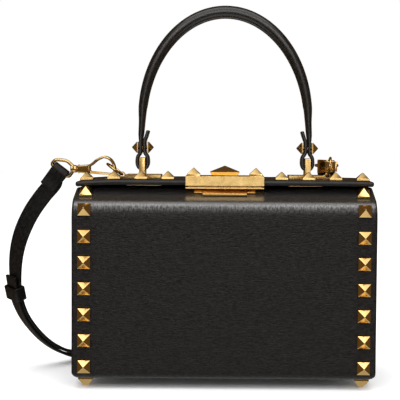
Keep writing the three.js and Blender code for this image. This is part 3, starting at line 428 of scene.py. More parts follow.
class StrapShape(bpy.types.PropertyGroup):
    """Sizes of the shoulder strap and its keeper."""

    width: length_property("Width", "Width of the strap", 11.5)
    thickness: length_property("Thickness", "Thickness of one strap layer", 2.1)
    edge: length_property("Painted edge", "Rounding of the strap's painted edges", 0.7)
    fold: length_property("Fold radius", "Radius of the fold round a ring's bar", 2.6)
    tab: length_property("Tab", "Length of the stitched tab", 13.0)
    keeper_length: length_property("Keeper length", "Length of the keeper along the strap", 9.0)
    keeper_wall: length_property("Keeper wall", "Thickness of the keeper's leather", 1.4)
    tip: length_property("Free tip", "How far the tip stands past the keeper", 7.0)


class Finishes(bpy.types.PropertyGroup):
    """Colours of the leather and the metal."""

    leather: colour_property("Leather", "Face of the leather", (0.0017, 0.0014, 0.0013, 1.0))
    # The paler colour on the grain's peaks, against the dark face in the valleys, is a painted sheen over
    # painted shade: it stands for light on the grain's relief.
    leather_worn: colour_property("Leather peaks", "Raised grain", (0.0095, 0.0085, 0.0078, 1.0))
    inside: colour_property("Inside", "Bare inside of the box", (0.007, 0.006, 0.006, 1.0))
    gold: colour_property("Gold", "Polished metal", (0.88, 0.61, 0.245, 1.0))
    gold_deep: colour_property("Gold, deep", "Metal in the small hollows", (0.76, 0.46, 0.15, 1.0))


class StageSetting(bpy.types.PropertyGroup):
    """The camera, the floor and the studio light."""

    camera_distance: bpy.props.FloatProperty(
        name="Camera distance", description="From the origin, along the front", default=0.798, unit="LENGTH")
    camera_height: bpy.props.FloatProperty(
        name="Camera height", description="Above the underside", default=0.153, unit="LENGTH")
    camera_pitch: bpy.props.FloatProperty(
        name="Camera pitch", description="How far it looks down", default=math.radians(3.04), subtype="ANGLE")
    camera_roll: bpy.props.FloatProperty(
        name="Camera roll", description="Turn about the line of sight", default=math.radians(0.4),
        subtype="ANGLE")
    lens: bpy.props.FloatProperty(name="Lens", description="Focal length, in millimetres", default=108.95)
    floor_size: bpy.props.FloatProperty(
        name="Floor", description="Side of the square floor", default=8.0, unit="LENGTH")


GROUPS = {
    "bag_box": BoxShape,
    "bag_handle": HandleShape,
    "bag_hooks": HookShape,
    "bag_strap": StrapShape,
    "bag_finishes": Finishes,
    "bag_stage": StageSetting,
}


class Sizes:
    """The lengths of a property group, read in millimetres."""

    def __init__(self, group):
        for key in group.__annotations__:
            value = getattr(group, key)
            angle = group.bl_rna.properties[key].subtype == "ANGLE"
            setattr(self, key, value if angle else value / MM)


def settings(name):
    """A property group of the scene, with its lengths in millimetres."""
    return Sizes(getattr(bpy.context.scene, name))


# Curves, grids and carried profiles


def unit(vectors):
    """Each vector divided by its length."""
    return vectors / np.linalg.norm(vectors, axis=-1, keepdims=True)


def smooth_path(points, per_row):
    """A curve through the points: between two of them, a cubic whose end slopes come from the
    neighbours, weighted by the root of the distances (centripetal)."""
    p = np.asarray(points, float)
    p = np.vstack([2 * p[:1] - p[1:2], p, 2 * p[-1:] - p[-2:-1]])
    step = np.sum(np.diff(p, axis=0) ** 2, axis=1)[:, None] ** 0.25
    p0, p1, p2, p3 = p[:-3], p[1:-2], p[2:-1], p[3:]
    d0, d1, d2 = step[:-2], step[1:-1], step[2:]
    out_slope = ((p1 - p0) / d0 - (p2 - p0) / (d0 + d1) + (p2 - p1) / d1) * d1
    in_slope = ((p2 - p1) / d1 - (p3 - p1) / (d1 + d2) + (p3 - p2) / d2) * d1
    t = (np.arange(per_row) / per_row)[None, :, None]
    curve = ((2 * t ** 3 - 3 * t ** 2 + 1) * p1[:, None] + (t ** 3 - 2 * t ** 2 + t) * out_slope[:, None]
             + (3 * t ** 2 - 2 * t ** 3) * p2[:, None] + (t ** 3 - t ** 2) * in_slope[:, None])
    return np.vstack([curve.reshape(-1, p.shape[1]), p[-2:-1]])


def rounded_corners(corners, cut, steps):
    """A closed line through the corners, each turned by a parabola that starts a cut before it:
    (1-t)^2 before + 2t(1-t) corner + t^2 after."""
    p = np.asarray(corners, float)
    before = np.roll(p, 1, axis=0) - p
    after = np.roll(p, -1, axis=0) - p
    shorter = np.minimum(np.linalg.norm(before, axis=1), np.linalg.norm(after, axis=1))
    reach = np.minimum(cut, CORNER_SHARE * shorter)[:, None]
    start = p + unit(before) * reach
    end = p + unit(after) * reach
    t = np.linspace(0, 1, steps)[None, :, None]
    turn = (1 - t) ** 2 * start[:, None] + 2 * t * (1 - t) * p[:, None] + t ** 2 * end[:, None]
    return turn.reshape(-1, p.shape[1])


def grid_faces(rows, columns, wrap=False):
    """Four-sided faces between the neighbours of a grid that is numbered row by row. With wrap,
    the last row meets the first."""
    i = np.arange(rows if wrap else rows - 1)[:, None]
    j = np.arange(columns - 1)[None, :]
    here = i * columns + j
    there = (i + 1) % rows * columns + j
    return np.stack([here, here + 1, there + 1, there], axis=-1).reshape(-1, 4)


def part_of(points, wrap=False, uv=None):
    """A grid of points as (points, faces, map), where the map is metres along the grid's two ways."""
    rows, columns = points.shape[:2]
    if uv is None:
        along = np.linalg.norm(np.diff(points, axis=0), axis=2).mean(axis=1).cumsum()
        across = np.linalg.norm(np.diff(points, axis=1), axis=2).max(axis=0).cumsum()
        along = np.concatenate([[0.0], along])
        across = np.concatenate([[0.0], across])
        uv = np.stack(np.meshgrid(along, across, indexing="ij"), axis=-1)
    return points.reshape(-1, 3), grid_faces(rows, columns, wrap), uv.reshape(-1, 2) * MM


def carried(path, across, wide, thick, corner, corner_steps=4, loop=False, end=0.0):
    """A rounded rectangle carried along a path. Its points are the corner centre plus the corner
    radius times (cosine, sine), laid out along the width and the face's normal. An open end is
    rounded: at angle a the section moves out by end*sin(a) and shrinks by end*(1-cos(a))."""
    path = np.asarray(path, float)
    count = len(path)
    wide = np.broadcast_to(wide, count) / 2
    thick = np.broadcast_to(thick, count) / 2
    corner = np.broadcast_to(corner, count)
    if loop:
        tangent = unit(np.roll(path, -1, axis=0) - np.roll(path, 1, axis=0))
    else:
        tangent = unit(np.gradient(path, axis=0))
    across = np.broadcast_to(np.asarray(across, float), path.shape)
    across = unit(across - np.sum(across * tangent, axis=1)[:, None] * tangent)
    shrink = np.zeros(count)
    if not loop:
        a = np.linspace(0, math.pi / 2, END_STEPS + 1)[1:]
        out = end * np.sin(a)
        less = end * (1 - np.cos(a))
        less = np.append(less, wide.max())
        out = np.append(out, end)
        first, last = slice(0, 1), slice(-1, None)
        path = np.vstack([path[first] - tangent[first] * out[::-1, None], path,
                          path[last] + tangent[last] * out[:, None]])
        shrink = np.concatenate([less[::-1], shrink, less])
        pad = (len(less), len(less))
        wide, thick, corner = (np.pad(v, pad, mode="edge") for v in (wide, thick, corner))
        tangent, across = (np.pad(v, (pad, (0, 0)), mode="edge") for v in (tangent, across))
    face = np.cross(tangent, across)
    wide = np.maximum(wide - shrink, 0)
    thick = np.maximum(thick - shrink, 0)
    corner = np.minimum(corner, np.minimum(wide, thick))
    quarter = np.linspace(0, math.pi / 2, corner_steps + 1)
    angle = np.concatenate([quarter + k * math.pi / 2 for k in range(4)] + [[2 * math.pi]])
    sx = np.repeat([1, -1, -1, 1, 1], [corner_steps + 1] * 4 + [1])
    sy = np.repeat([1, 1, -1, -1, 1], [corner_steps + 1] * 4 + [1])
    x = sx * (wide - corner)[:, None] + corner[:, None] * np.cos(angle)
    y = sy * (thick - corner)[:, None] + corner[:, None] * np.sin(angle)
    points = path[:, None] + across[:, None] * x[..., None] + face[:, None] * y[..., None]
    return part_of(points, wrap=loop)


def moved(points, place):
    """Points moved by a matrix, such as from a hook's frame (p, q, w) to the bag's frame."""
    matrix = np.array(place)
    return points @ matrix[:3, :3].T + matrix[:3, 3]


def turned(rows, steps, place):
    """A profile of (radius, height) rows, closed on the axis at both ends and turned about Z:
    (r cos a, r sin a, h), then placed."""
    profile = np.vstack([(0.0, rows[0, 1]), rows, (0.0, rows[-1, 1])])
    a = np.linspace(0, 2 * math.pi, steps + 1)[None, :]
    r = profile[:, :1]
    height = np.broadcast_to(profile[:, 1:], (len(r), steps + 1))
    return part_of(moved(np.stack([r * np.cos(a), r * np.sin(a), height], axis=-1), place))


# Making pieces


def finish_piece(obj, body, slot, *nodes):
    """Puts a finished object in the frame: its body and the solids that it stands for. The slot is not used.
    """
    if isinstance(body, tuple):
        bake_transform(obj, *body)
    else:
        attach(obj, body)
    if nodes:
        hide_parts(*nodes)
    return obj


def add_mesh(name, parts, material, sharp=32.0, marks=None):
    """An object made of several grids, in millimetres, with its doubles merged and faces outwards."""
    starts = np.cumsum([0] + [len(p[0]) for p in parts])[:-1]
    points = np.vstack([p[0] for p in parts]) * MM
    faces = np.vstack([p[1] + start for p, start in zip(parts, starts)])
    uv = np.vstack([p[2] for p in parts])
    mesh = bpy.data.meshes.new(name)
    mesh.from_pydata(points.tolist(), [], faces.tolist())
    corner = np.empty(len(mesh.loops), dtype=np.int32)
    mesh.loops.foreach_get("vertex_index", corner)
    mesh.uv_layers.new(name="surface").data.foreach_set("uv", uv[corner].astype(np.float32).ravel())
    if marks is not None:
        mesh.attributes.new("inside", "FLOAT", "POINT").data.foreach_set("value", marks.astype(np.float32))
    work = bmesh.new()
    work.from_mesh(mesh)
    bmesh.ops.remove_doubles(work, verts=work.verts, dist=WELD)
    bmesh.ops.dissolve_degenerate(work, edges=work.edges, dist=SLIVER)
    bmesh.ops.recalc_face_normals(work, faces=work.faces)
    work.to_mesh(mesh)
    work.free()
    return show(mesh, name, material, sharp)


def show(mesh, name, material, sharp):
    """Gives a mesh its material and smooth shading up to an angle, and links its object."""
    mesh.materials.clear()
    mesh.materials.append(material)
    mesh.polygons.foreach_set("use_smooth", np.ones(len(mesh.polygons), dtype=bool))
    mesh.polygons.foreach_set("material_index", np.zeros(len(mesh.polygons), dtype=np.int32))
    mesh.set_sharp_from_angle(angle=math.radians(sharp))
    mesh.update()
    obj = bpy.data.objects.new(name, mesh)
    bpy.context.scene.collection.objects.link(obj)
    return obj


def softened(node, material, width):
    """A copy of a solid with its flat faces joined again and its edges rounded by a bevel."""
    source = frame["nodes"][node]
    mesh = source.data.copy()
    mesh.name = node + "_finish"
    work = bmesh.new()
    work.from_mesh(mesh)
    bmesh.ops.remove_doubles(work, verts=work.verts, dist=WELD)
    bmesh.ops.dissolve_limit(work, angle_limit=JOINED_ANGLE, verts=work.verts, edges=work.edges)
    work.to_mesh(mesh)
    work.free()
    obj = show(mesh, node + "_finish", material, METAL_SHARP)
    bevel = obj.modifiers.new("rounding", "BEVEL")
    bevel.width = width * MM
    bevel.segments = BEVEL_SEGMENTS
    bevel.limit_method = "ANGLE"
    bevel.angle_limit = BEVEL_ANGLE
    bevel.harden_normals = True
    return finish_piece(obj, body_of(source)[0], "gold_metal", node)


# Materials


def new_group(name, inputs, outputs):
    """An empty shader node group with named sockets."""
    group = bpy.data.node_groups.new(name, "ShaderNodeTree")
    for label, kind, default in inputs:
        socket = group.interface.new_socket(name=label, in_out="INPUT", socket_type=kind)
        if default is not None:
            socket.default_value = default
    for label, kind in outputs:
        group.interface.new_socket(name=label, in_out="OUTPUT", socket_type=kind)
    return group, group.nodes.new("NodeGroupInput"), group.nodes.new("NodeGroupOutput")


def add_node(tree, kind, **values):
    """A node with its properties and its inputs set by name."""
    node = tree.nodes.new(kind)
    for key, value in values.items():
        if hasattr(node, key):
            setattr(node, key, value)
        else:
            node.inputs[key.replace("_", " ")].default_value = value
    return node


def maths(tree, operation, first, second):
    """A math node; each operand is a socket or a number."""
    node = tree.nodes.new("ShaderNodeMath")
    node.operation = operation
    for socket, value in zip(node.inputs, (first, second)):
        if isinstance(value, (int, float)):
            socket.default_value = value
        else:
            tree.links.new(value, socket)
    return node.outputs[0]


def stretched_noise(tree, vector, stretch, scale, detail, distortion):
    """Noise on coordinates that are stretched first."""
    mapping = tree.nodes.new("ShaderNodeMapping")
    mapping.inputs["Scale"].default_value = stretch
    tree.links.new(vector, mapping.inputs["Vector"])
    noise = add_node(tree, "ShaderNodeTexNoise", Scale=scale, Detail=detail, Distortion=distortion)
    tree.links.new(mapping.outputs[0], noise.inputs["Vector"])
    return noise.outputs["Fac"]


def leather_grain_group():
    """Boarded grain: fine wavy strokes plus a share of a cross grain give the height and its peaks.
    Soft patches and the creases of the cross grain are put out as masks."""
    group, into, out = new_group(
        "boarded grain",
        [("Vector", "NodeSocketVector", None), ("Cross", "NodeSocketFloat", CROSS_SHARE)],
        [("Height", "NodeSocketFloat"), ("Peaks", "NodeSocketFloat"), ("Patches", "NodeSocketFloat"),
         ("Creases", "NodeSocketFloat")])
    vector = into.outputs["Vector"]
    strokes = stretched_noise(group, vector, *GRAIN_STROKES)
    cross = stretched_noise(group, vector, *GRAIN_CROSS)
    patches = stretched_noise(group, vector, *GRAIN_PATCHES)
    weighted = maths(group, "MULTIPLY", cross, into.outputs["Cross"])
    height = maths(group, "ADD", strokes, weighted)
    ramp = group.nodes.new("ShaderNodeMapRange")
    ramp.inputs["From Min"].default_value = PEAKS_BAND[0]
    ramp.inputs["From Max"].default_value = PEAKS_BAND[1]
    group.links.new(height, ramp.inputs["Value"])
    group.links.new(height, out.inputs["Height"])
    group.links.new(ramp.outputs["Result"], out.inputs["Peaks"])
    group.links.new(patches, out.inputs["Patches"])
    group.links.new(smooth_band(group, cross, *CREASES_BAND, CREASES_LEVEL), out.inputs["Creases"])
    return group


def polish_group():
    """Polished metal: hair-fine streaks for the bump, and slow patches for tone and gloss."""
    group, into, out = new_group(
        "polish",
        [("Vector", "NodeSocketVector", None)],
        [("Height", "NodeSocketFloat"), ("Tone", "NodeSocketFloat")])
    vector = into.outputs["Vector"]
    group.links.new(stretched_noise(group, vector, *POLISH_HAIR), out.inputs["Height"])
    group.links.new(stretched_noise(group, vector, *POLISH_PATCHES), out.inputs["Tone"])
    return group


def new_material(name):
    """A material with an empty tree, its Principled shader and its output."""
    material = bpy.data.materials.new(name)
    material.use_nodes = True
    tree = material.node_tree
    tree.nodes.clear()
    shader = tree.nodes.new("ShaderNodeBsdfPrincipled")
    output = tree.nodes.new("ShaderNodeOutputMaterial")
    tree.links.new(shader.outputs[0], output.inputs["Surface"])
    return material, tree, shader


def blended(tree, factor, first, second):
    """A colour between two, by a factor; each colour is a socket or a value."""
    mix = tree.nodes.new("ShaderNodeMix")
    mix.data_type = "RGBA"
    tree.links.new(factor, mix.inputs[0])
    for socket, value in ((mix.inputs[6], first), (mix.inputs[7], second)):
        if isinstance(value, bpy.types.NodeSocket):
            tree.links.new(value, socket)
        else:
            socket.default_value = value
    return mix.outputs[2]


def ranged(tree, value, low, high):
    """A value of 0 to 1 moved to between low and high."""
    node = tree.nodes.new("ShaderNodeMapRange")
    node.inputs["To Min"].default_value = low
    node.inputs["To Max"].default_value = high
    tree.links.new(value, node.inputs["Value"])
    return node.outputs["Result"]


def smooth_band(tree, value, low, high, level):
    """A level that comes in smoothly as a value goes from low to high."""
    node = tree.nodes.new("ShaderNodeMapRange")
    node.interpolation_type = "SMOOTHSTEP"
    node.inputs["From Min"].default_value = low
    node.inputs["From Max"].default_value = high
    node.inputs["To Max"].default_value = level
    tree.links.new(value, node.inputs["Value"])
    return node.outputs["Result"]


def bumped(tree, shader, height, strength, distance):
    """Bump from a height, on the shader's normal."""
    bump = tree.nodes.new("ShaderNodeBump")
    bump.inputs["Strength"].default_value = strength
    bump.inputs["Distance"].default_value = distance
    tree.links.new(height, bump.inputs["Height"])
    tree.links.new(bump.outputs[0], shader.inputs["Normal"])


def patterned_material(name, group, coordinates):
    """A new material with a pattern group in it, on the given coordinates."""
    material, tree, shader = new_material(name)
    place = tree.nodes.new("ShaderNodeTexCoord")
    pattern = tree.nodes.new("ShaderNodeGroup")
    pattern.node_tree = group
    tree.links.new(place.outputs[coordinates], pattern.inputs["Vector"])
    return material, tree, shader, place, pattern


def leather_material(name, grain, colours, values, on_box):
    """Black boarded leather: dark valleys and slightly greyer peaks, which are painted shade in the grain's
    valleys and a painted sheen on its peaks, and roughness that varies in patches. The box's leather also has
    its bare inside and its pressed slope."""
    gloss, relief, shine, coordinates = values
    material, tree, shader, place, pattern = patterned_material(name, grain, coordinates)
    # The grain's peaks are painted paler than its valleys: a painted sheen on the peaks over painted shade in
    # the valleys.
    colour = blended(tree, pattern.outputs["Peaks"], tuple(colours.leather), tuple(colours.leather_worn))
    roughness = ranged(tree, pattern.outputs["Patches"], gloss - PATCH_GLOSS, gloss + PATCH_GLOSS)
    height = pattern.outputs["Height"]
    if on_box:
        colour, roughness = bare_inside(tree, colours, colour, roughness)
        roughness, height = pressed_slope(tree, shader, place, pattern, roughness, height)
    tree.links.new(colour, shader.inputs["Base Color"])
    tree.links.new(roughness, shader.inputs["Roughness"])
    bumped(tree, shader, height, relief, GRAIN_DEPTH)
    shader.inputs["Specular IOR Level"].default_value = shine
    return material


def bare_inside(tree, colours, colour, roughness):
    """The inside of the box, marked on its points, has its own colour and is rougher."""
    mark = tree.nodes.new("ShaderNodeAttribute")
    mark.attribute_name = "inside"
    colour = blended(tree, mark.outputs["Fac"], colour, tuple(colours.inside))
    rougher = maths(tree, "MULTIPLY", mark.outputs["Fac"], INSIDE_ROUGHER)
    return colour, maths(tree, "ADD", roughness, rougher)


def pressed_slope(tree, shader, place, pattern, roughness, height):
    """On the slope under the lid's edge the grain is flatter and smoother, under a coat. With flat
    going from 0 to 1 up the slope, the coat's weight is flat * (creases * (1 - flat) + flat), so
    creases break up its lower edge."""
    way = tree.nodes.new("ShaderNodeSeparateXYZ")
    tree.links.new(place.outputs["Object"], way.inputs[0])
    flat = smooth_band(tree, way.outputs["Z"], SLOPE_FROM * MM, SLOPE_TO * MM, 1.0)
    smoother = maths(tree, "SUBTRACT", roughness, maths(tree, "MULTIPLY", flat, SLOPE_SMOOTHER))
    broken = maths(tree, "MULTIPLY", pattern.outputs["Creases"], maths(tree, "SUBTRACT", 1.0, flat))
    weight = maths(tree, "MULTIPLY", flat, maths(tree, "ADD", broken, flat))
    tree.links.new(weight, shader.inputs["Coat Weight"])
    shader.inputs["Coat IOR"].default_value = COAT_IOR
    shader.inputs["Coat Roughness"].default_value = COAT_ROUGHNESS
    kept = maths(tree, "SUBTRACT", 1.0, maths(tree, "MULTIPLY", flat, SLOPE_FLATTER))
    return smoother, maths(tree, "MULTIPLY", height, kept)


def gold_material(name, polish, colours, gloss):
    """Polished warm gold, a little deeper and duller in patches."""
    material, tree, shader, _, pattern = patterned_material(name, polish, "Object")
    tone = ranged(tree, pattern.outputs["Tone"], *GOLD_TONES)
    colour = blended(tree, tone, tuple(colours.gold), tuple(colours.gold_deep))
    roughness = ranged(tree, pattern.outputs["Tone"], gloss + GOLD_DULLING[0], gloss + GOLD_DULLING[1])
    tree.links.new(colour, shader.inputs["Base Color"])
    tree.links.new(roughness, shader.inputs["Roughness"])
    bumped(tree, shader, pattern.outputs["Height"], GOLD_BUMP, GOLD_BUMP_DEPTH)
    shader.inputs["Metallic"].default_value = 1.0
    return material


FINISH = {}


def make_finishes():
    """Builds the shared groups and every material once."""
    colours = bpy.context.scene.bag_finishes
    grain = leather_grain_group()
    polish = polish_group()
    for key, values in LEATHERS.items():
        FINISH[key] = leather_material(key + " leather", grain, colours, values, key == "box")
    FINISH["gold"] = gold_material("polished gold", polish, colours, GOLD_GLOSS)
    FINISH["gold_plate"] = gold_material("plate gold", polish, colours, PLATE_GLOSS)


def finish(key):
    """A material by its key. The first call makes them all."""
    if not FINISH:
        make_finishes()
    return FINISH[key]


# The box and its lid


def droop(x):
    """How far the lid and the lips hang lower at x: a parabola over the last stretch of each end."""
    share = np.maximum(0, np.abs(x) - (LID_HALF_WIDTH - DROOP_SPAN)) / DROOP_SPAN
    return np.where(x < 0, DROOP_LEFT, DROOP_RIGHT) * share ** 2


def slope_depth(box, z):
    """Depth of the sloped shoulder behind the front plane at a height."""
    start = box.shoulder_radius * (1 - math.sin(box.slope))
    height = box.shoulder_start + box.shoulder_radius * math.cos(box.slope)
    return start + (z - height) / math.tan(box.slope)


def half_outline(box, inset, lip):
    """Half of the side outline for each column, from the lip down to the middle of the underside:
    the slope, the shoulder's arc, the front, the bottom edge's arc and the underside. Gives y, z,
    the outward normal's angle above the front, and the distance along the surface. The inner
    layer lies an inset further in, and only the outer one is lifted by the base panel's relief."""
    turn = math.pi / 2 - box.slope
    radius = box.shoulder_radius - inset
    lift = 0.0 if inset else BASE_RELIEF
    edge = max(box.bottom_radius - inset, INNER_EDGE)
    corner = inset + edge
    arc_top = box.shoulder_start + radius * math.sin(turn)
    slope_rows, arc_rows, front_rows, low_rows, under_rows = OUTLINE_ROWS
    rise = np.linspace(1, 0, slope_rows + 1)[:-1, None]
    slope_z = arc_top + rise * (lip - arc_top)
    slope_y = slope_depth(box, slope_z) + inset / math.sin(box.slope) - HALF_DEPTH
    arc = np.linspace(turn, 0, arc_rows + 1)[:-1, None]
    front = np.linspace(box.shoulder_start, lift + corner, front_rows + 1)[:-1, None]
    low = np.linspace(0, math.pi / 2, low_rows + 1)[:-1, None]
    under = np.linspace(corner - HALF_DEPTH, 0, under_rows)[:, None]
    one = np.ones_like(lip)
    y = np.vstack([
        slope_y,
        (box.shoulder_radius - HALF_DEPTH - radius * np.cos(arc)) * one,
        (inset - HALF_DEPTH + 0 * front) * one,
        (corner - HALF_DEPTH - edge * np.cos(low)) * one,
        under * one])
    z = np.vstack([
        slope_z,
        (box.shoulder_start + radius * np.sin(arc)) * one,
        front * one,
        (lift + corner - edge * np.sin(low)) * one,
        (lift + inset + 0 * under) * one])
    angle = np.vstack([turn + 0 * slope_z, arc * one, 0 * front * one, -low * one,
                       0 * under * one - math.pi / 2])
    along = np.vstack([
        box.shoulder_start + box.shoulder_radius * turn + (slope_z - arc_top) / math.sin(box.slope),
        (box.shoulder_start + box.shoulder_radius * arc) * one,
        front * one,
        (corner - edge * low) * one,
        (corner - edge * math.pi / 2 - (under + HALF_DEPTH - corner)) * one])
    return y, z, angle, along


def half_width(box, z, inset):
    """Half of the box's width at a height: quarter circles at the bottom corners, a straight
    taper beside the shoulders."""
    radius = max(box.side_corner - inset, INNER_EDGE)
    lift = 0.0 if inset else BASE_RELIEF
    down = np.clip((lift + inset + radius - z) / radius, 0, 1)
    arc_top = box.shoulder_start + box.shoulder_radius * math.cos(box.slope)
    taper = TOP_CORNER_INSET * np.clip((z - arc_top) / (LIP_TOP - arc_top), 0, 1)
    return HALF_WIDTH - inset - radius * (1 - np.sqrt(1 - down ** 2)) - taper


def shell_layer(box, inset, edge):
    """One face of the box's wall as a grid. Columns run from the left side's middle line over
    the rounded edge, across the front and over to the right: a fan of columns on the side, a band
    round the edge and the middle. On the band, edge point = outline - r(1-cos a) normal and
    x = half - r(1-sin a). Across a fan, y shrinks towards the middle line by the share t, and low
    rows rise to where the faces gather."""
    fan, band, middle = 9, 6, 73
    share = np.concatenate([-np.ones(fan + band), np.linspace(-1, 1, middle), np.ones(fan + band)])
    a = np.linspace(90, 0, band, endpoint=False)
    a = np.radians(np.concatenate([np.full(fan, 90.0), a, np.zeros(middle), a[::-1], np.full(fan, 90.0)]))
    t = np.linspace(1, 0, fan, endpoint=False)
    t = np.concatenate([t, np.zeros(2 * band + middle), t[::-1]])
    top = LIP_TOP - droop(share * HALF_WIDTH)
    dip = FRONT_DIP * (1 - share ** 2)
    halves = [half_outline(box, inset, top - dip), half_outline(box, inset, top)]
    y, z, angle, along = (np.vstack([f, b[-2::-1]]) for f, b in zip(*halves))
    side = np.concatenate([np.ones(len(halves[0][0])), -np.ones(len(halves[1][0]) - 1)])[:, None]
    pull = edge * (1 - np.cos(a))
    fade = 1 - t ** 3
    edge_y = (y + pull * np.cos(angle)) * (1 - t)
    edge_z = z - pull * np.sin(angle) * fade
    edge_z = edge_z + (np.maximum(edge_z, GATHER_HEIGHT) - edge_z) * t
    outer_x = np.sign(share) * (half_width(box, edge_z, inset) - edge * (1 - np.sin(a)))
    middle_x = share * (half_width(box, z, inset) - edge)
    x = np.where(a > 0, outer_x, middle_x)
    points = np.stack([x, edge_y * side, edge_z], axis=-1)
    past = np.abs(y) * t + edge * a
    uv = np.stack([x + np.sign(share) * past, along * (1 - t) + edge_z * t], axis=-1)
    uv[..., 0] += np.where(side < 0, BACK_MAP_SHIFT, 0.0)
    return points, uv


class BAG_OT_box(bpy.types.Operator):
    """Make the hollow leather box with its sloped shoulders and its base panel"""

    bl_idname = "bag.box"
    bl_label = "Box"

    def execute(self, context):
        box = settings("bag_box")
        outer, outer_uv = shell_layer(box, 0.0, box.edge)
        inner, inner_uv = shell_layer(box, box.wall, INNER_EDGE)
        parts = [part_of(outer, uv=outer_uv), part_of(inner, uv=inner_uv)]
        for row in (0, -1):
            crown = (outer[row] + inner[row]) / 2 + (0, 0, RIM_CROWN)
            rim = np.stack([outer[row], crown, inner[row]])
            parts.append(part_of(rim, uv=np.stack([outer_uv[row]] * 3)))
        parts.append(self.base_panel())
        marks = np.concatenate([np.zeros(outer[..., 0].size), np.ones(inner[..., 0].size),
                                np.zeros(sum(len(p[0]) for p in parts[2:]))])
        obj = add_mesh("box", parts, finish("box"), sharp=40.0, marks=marks)
        finish_piece(obj, "body", "black_leather", "body_shell")
        return {"FINISHED"}

    def base_panel(self):
        """The flat panel under the box: its section carried from front to back, edges rounded."""
        reach = PANEL_HALF_DEPTH - PANEL_EDGE
        y = np.linspace(-reach, reach, 12)
        path = np.stack([0 * y, y, 0 * y + PANEL_THICKNESS / 2], axis=-1)
        return carried(path, (1, 0, 0), 2 * PANEL_HALF_WIDTH, PANEL_THICKNESS, PANEL_EDGE, end=PANEL_EDGE)


def lid_surface(box):
    """The lid as a grid: the section is two half circles joined by straight runs, bent down by the
    droop; at each end it shrinks by r(1-cos a) while x grows by r*sin(a), and closes on its middle."""
    radius = (float(LID_HIGH[2] - LID_LOW[2]) - DROOP_LEFT) / 2
    half = LID_HALF_WIDTH
    depth = float(LID_HIGH[1])
    rounds, columns, arc, flat = 6, 97, 13, 7
    a = np.linspace(0, math.pi / 2, rounds)
    x = np.concatenate([
        [-half], -half + box.lid_end * (1 - np.sin(a[::-1])), np.linspace(-half, half, columns)[2:-2],
        half - box.lid_end * (1 - np.sin(a)), [half]])
    less = np.zeros_like(x)
    less[1:rounds + 1] = box.lid_end * (1 - np.cos(a[::-1]))
    less[-rounds - 1:-1] = box.lid_end * (1 - np.cos(a))
    less[[0, -1]] = radius
    middle = LID_TOP - radius - droop(x)
    section, normal = lid_section(depth - radius, arc, flat)
    yz = section[None] + normal[None] * (radius - less)[:, None, None]
    across = np.broadcast_to(x[:, None], yz.shape[:2])
    return part_of(np.stack([across, yz[..., 0], yz[..., 1] + middle[:, None]], axis=-1))


def lid_section(reach, arc, flat):
    """Centres and normals round the lid's section, as (y, z): half a circle at the back, a straight
    run, half a circle at the front and the run back to the start."""
    turn = np.radians(np.concatenate([np.linspace(-90, 90, arc), np.linspace(90, 270, arc)]))
    centre = np.stack([np.repeat([reach, -reach], arc), np.zeros(2 * arc)], axis=-1)
    normal = np.stack([np.cos(turn), np.sin(turn)], axis=-1)
    share = np.linspace(0, 1, flat + 2)[1:-1, None]
    over = centre[arc - 1] + (centre[arc] - centre[arc - 1]) * share
    under = centre[-1] + (centre[0] - centre[-1]) * share
    up = np.tile((0.0, 1.0), (flat, 1))
    down = np.tile((0.0, -1.0), (flat + 1, 1))
    centre = np.vstack([centre[:arc], over, centre[arc:], under, centre[:1]])
    normal = np.vstack([normal[:arc], up, normal[arc:], down])
    return centre, normal


class BAG_OT_lid(bpy.types.Operator):
    """Make the lid panel and the roll on its hinge line"""

    bl_idname = "bag.lid"
    bl_label = "Lid"

    def execute(self, context):
        box = settings("bag_box")
        obj = add_mesh("lid_panel", [lid_surface(box)], finish("lid"), sharp=50.0)
        finish_piece(obj, "lid", "black_leather", "lid")
        low, high = span("hinge_roll")
        middle = (low + high) / 2
        x = np.linspace(low[0] + HINGE_ROUND, high[0] - HINGE_ROUND, 60)
        path = np.stack([x, 0 * x + middle[1], 0 * x + middle[2]], axis=-1)
        size = 2 * box.hinge_radius
        part = carried(path, (0, 1, 0), size, size, box.hinge_radius, end=HINGE_ROUND)
        roll = add_mesh("hinge_leather", [part], finish("hinge"))
        finish_piece(roll, "body", "black_leather", "hinge_roll")
        return {"FINISHED"}


# The handle


def handle_rows(shape):
    """Rows of (x, z, thickness, width) for the right half of the handle, from its free tip round
    the staple, up past the rivet and over the arch, a quarter of an ellipse."""
    tip = (STAPLE_X, RIVET_Z) + TIP_ROWS * (shape.loop_half_width, shape.tip_rise)
    loop_size = (shape.loop_half_width, RIVET_Z - shape.loop_bottom)
    flat = np.vstack([tip, (STAPLE_X, shape.loop_bottom) + LOOP_ROWS * loop_size])
    flat = np.hstack([flat, np.tile((shape.strap_thickness, shape.strap_width), (len(flat), 1))])
    out, rise, thick = JOIN_SHARES
    join = (STAPLE_X + out * shape.loop_half_width, RIVET_Z + rise * shape.tip_rise,
            thick * shape.thick_end, shape.strap_width)
    a = np.linspace(0, math.pi / 2, 13)
    up = np.sin(a) ** SWELL_POWER
    arch = np.stack([
        (STAPLE_X + shape.spread) * np.cos(a),
        RIVET_Z + shape.base + shape.rise * np.sin(a),
        shape.thick_end + (shape.thick_top - shape.thick_end) * up,
        shape.strap_width + (shape.width_top - shape.strap_width) * up], axis=-1)
    return np.vstack([flat, [join], arch])


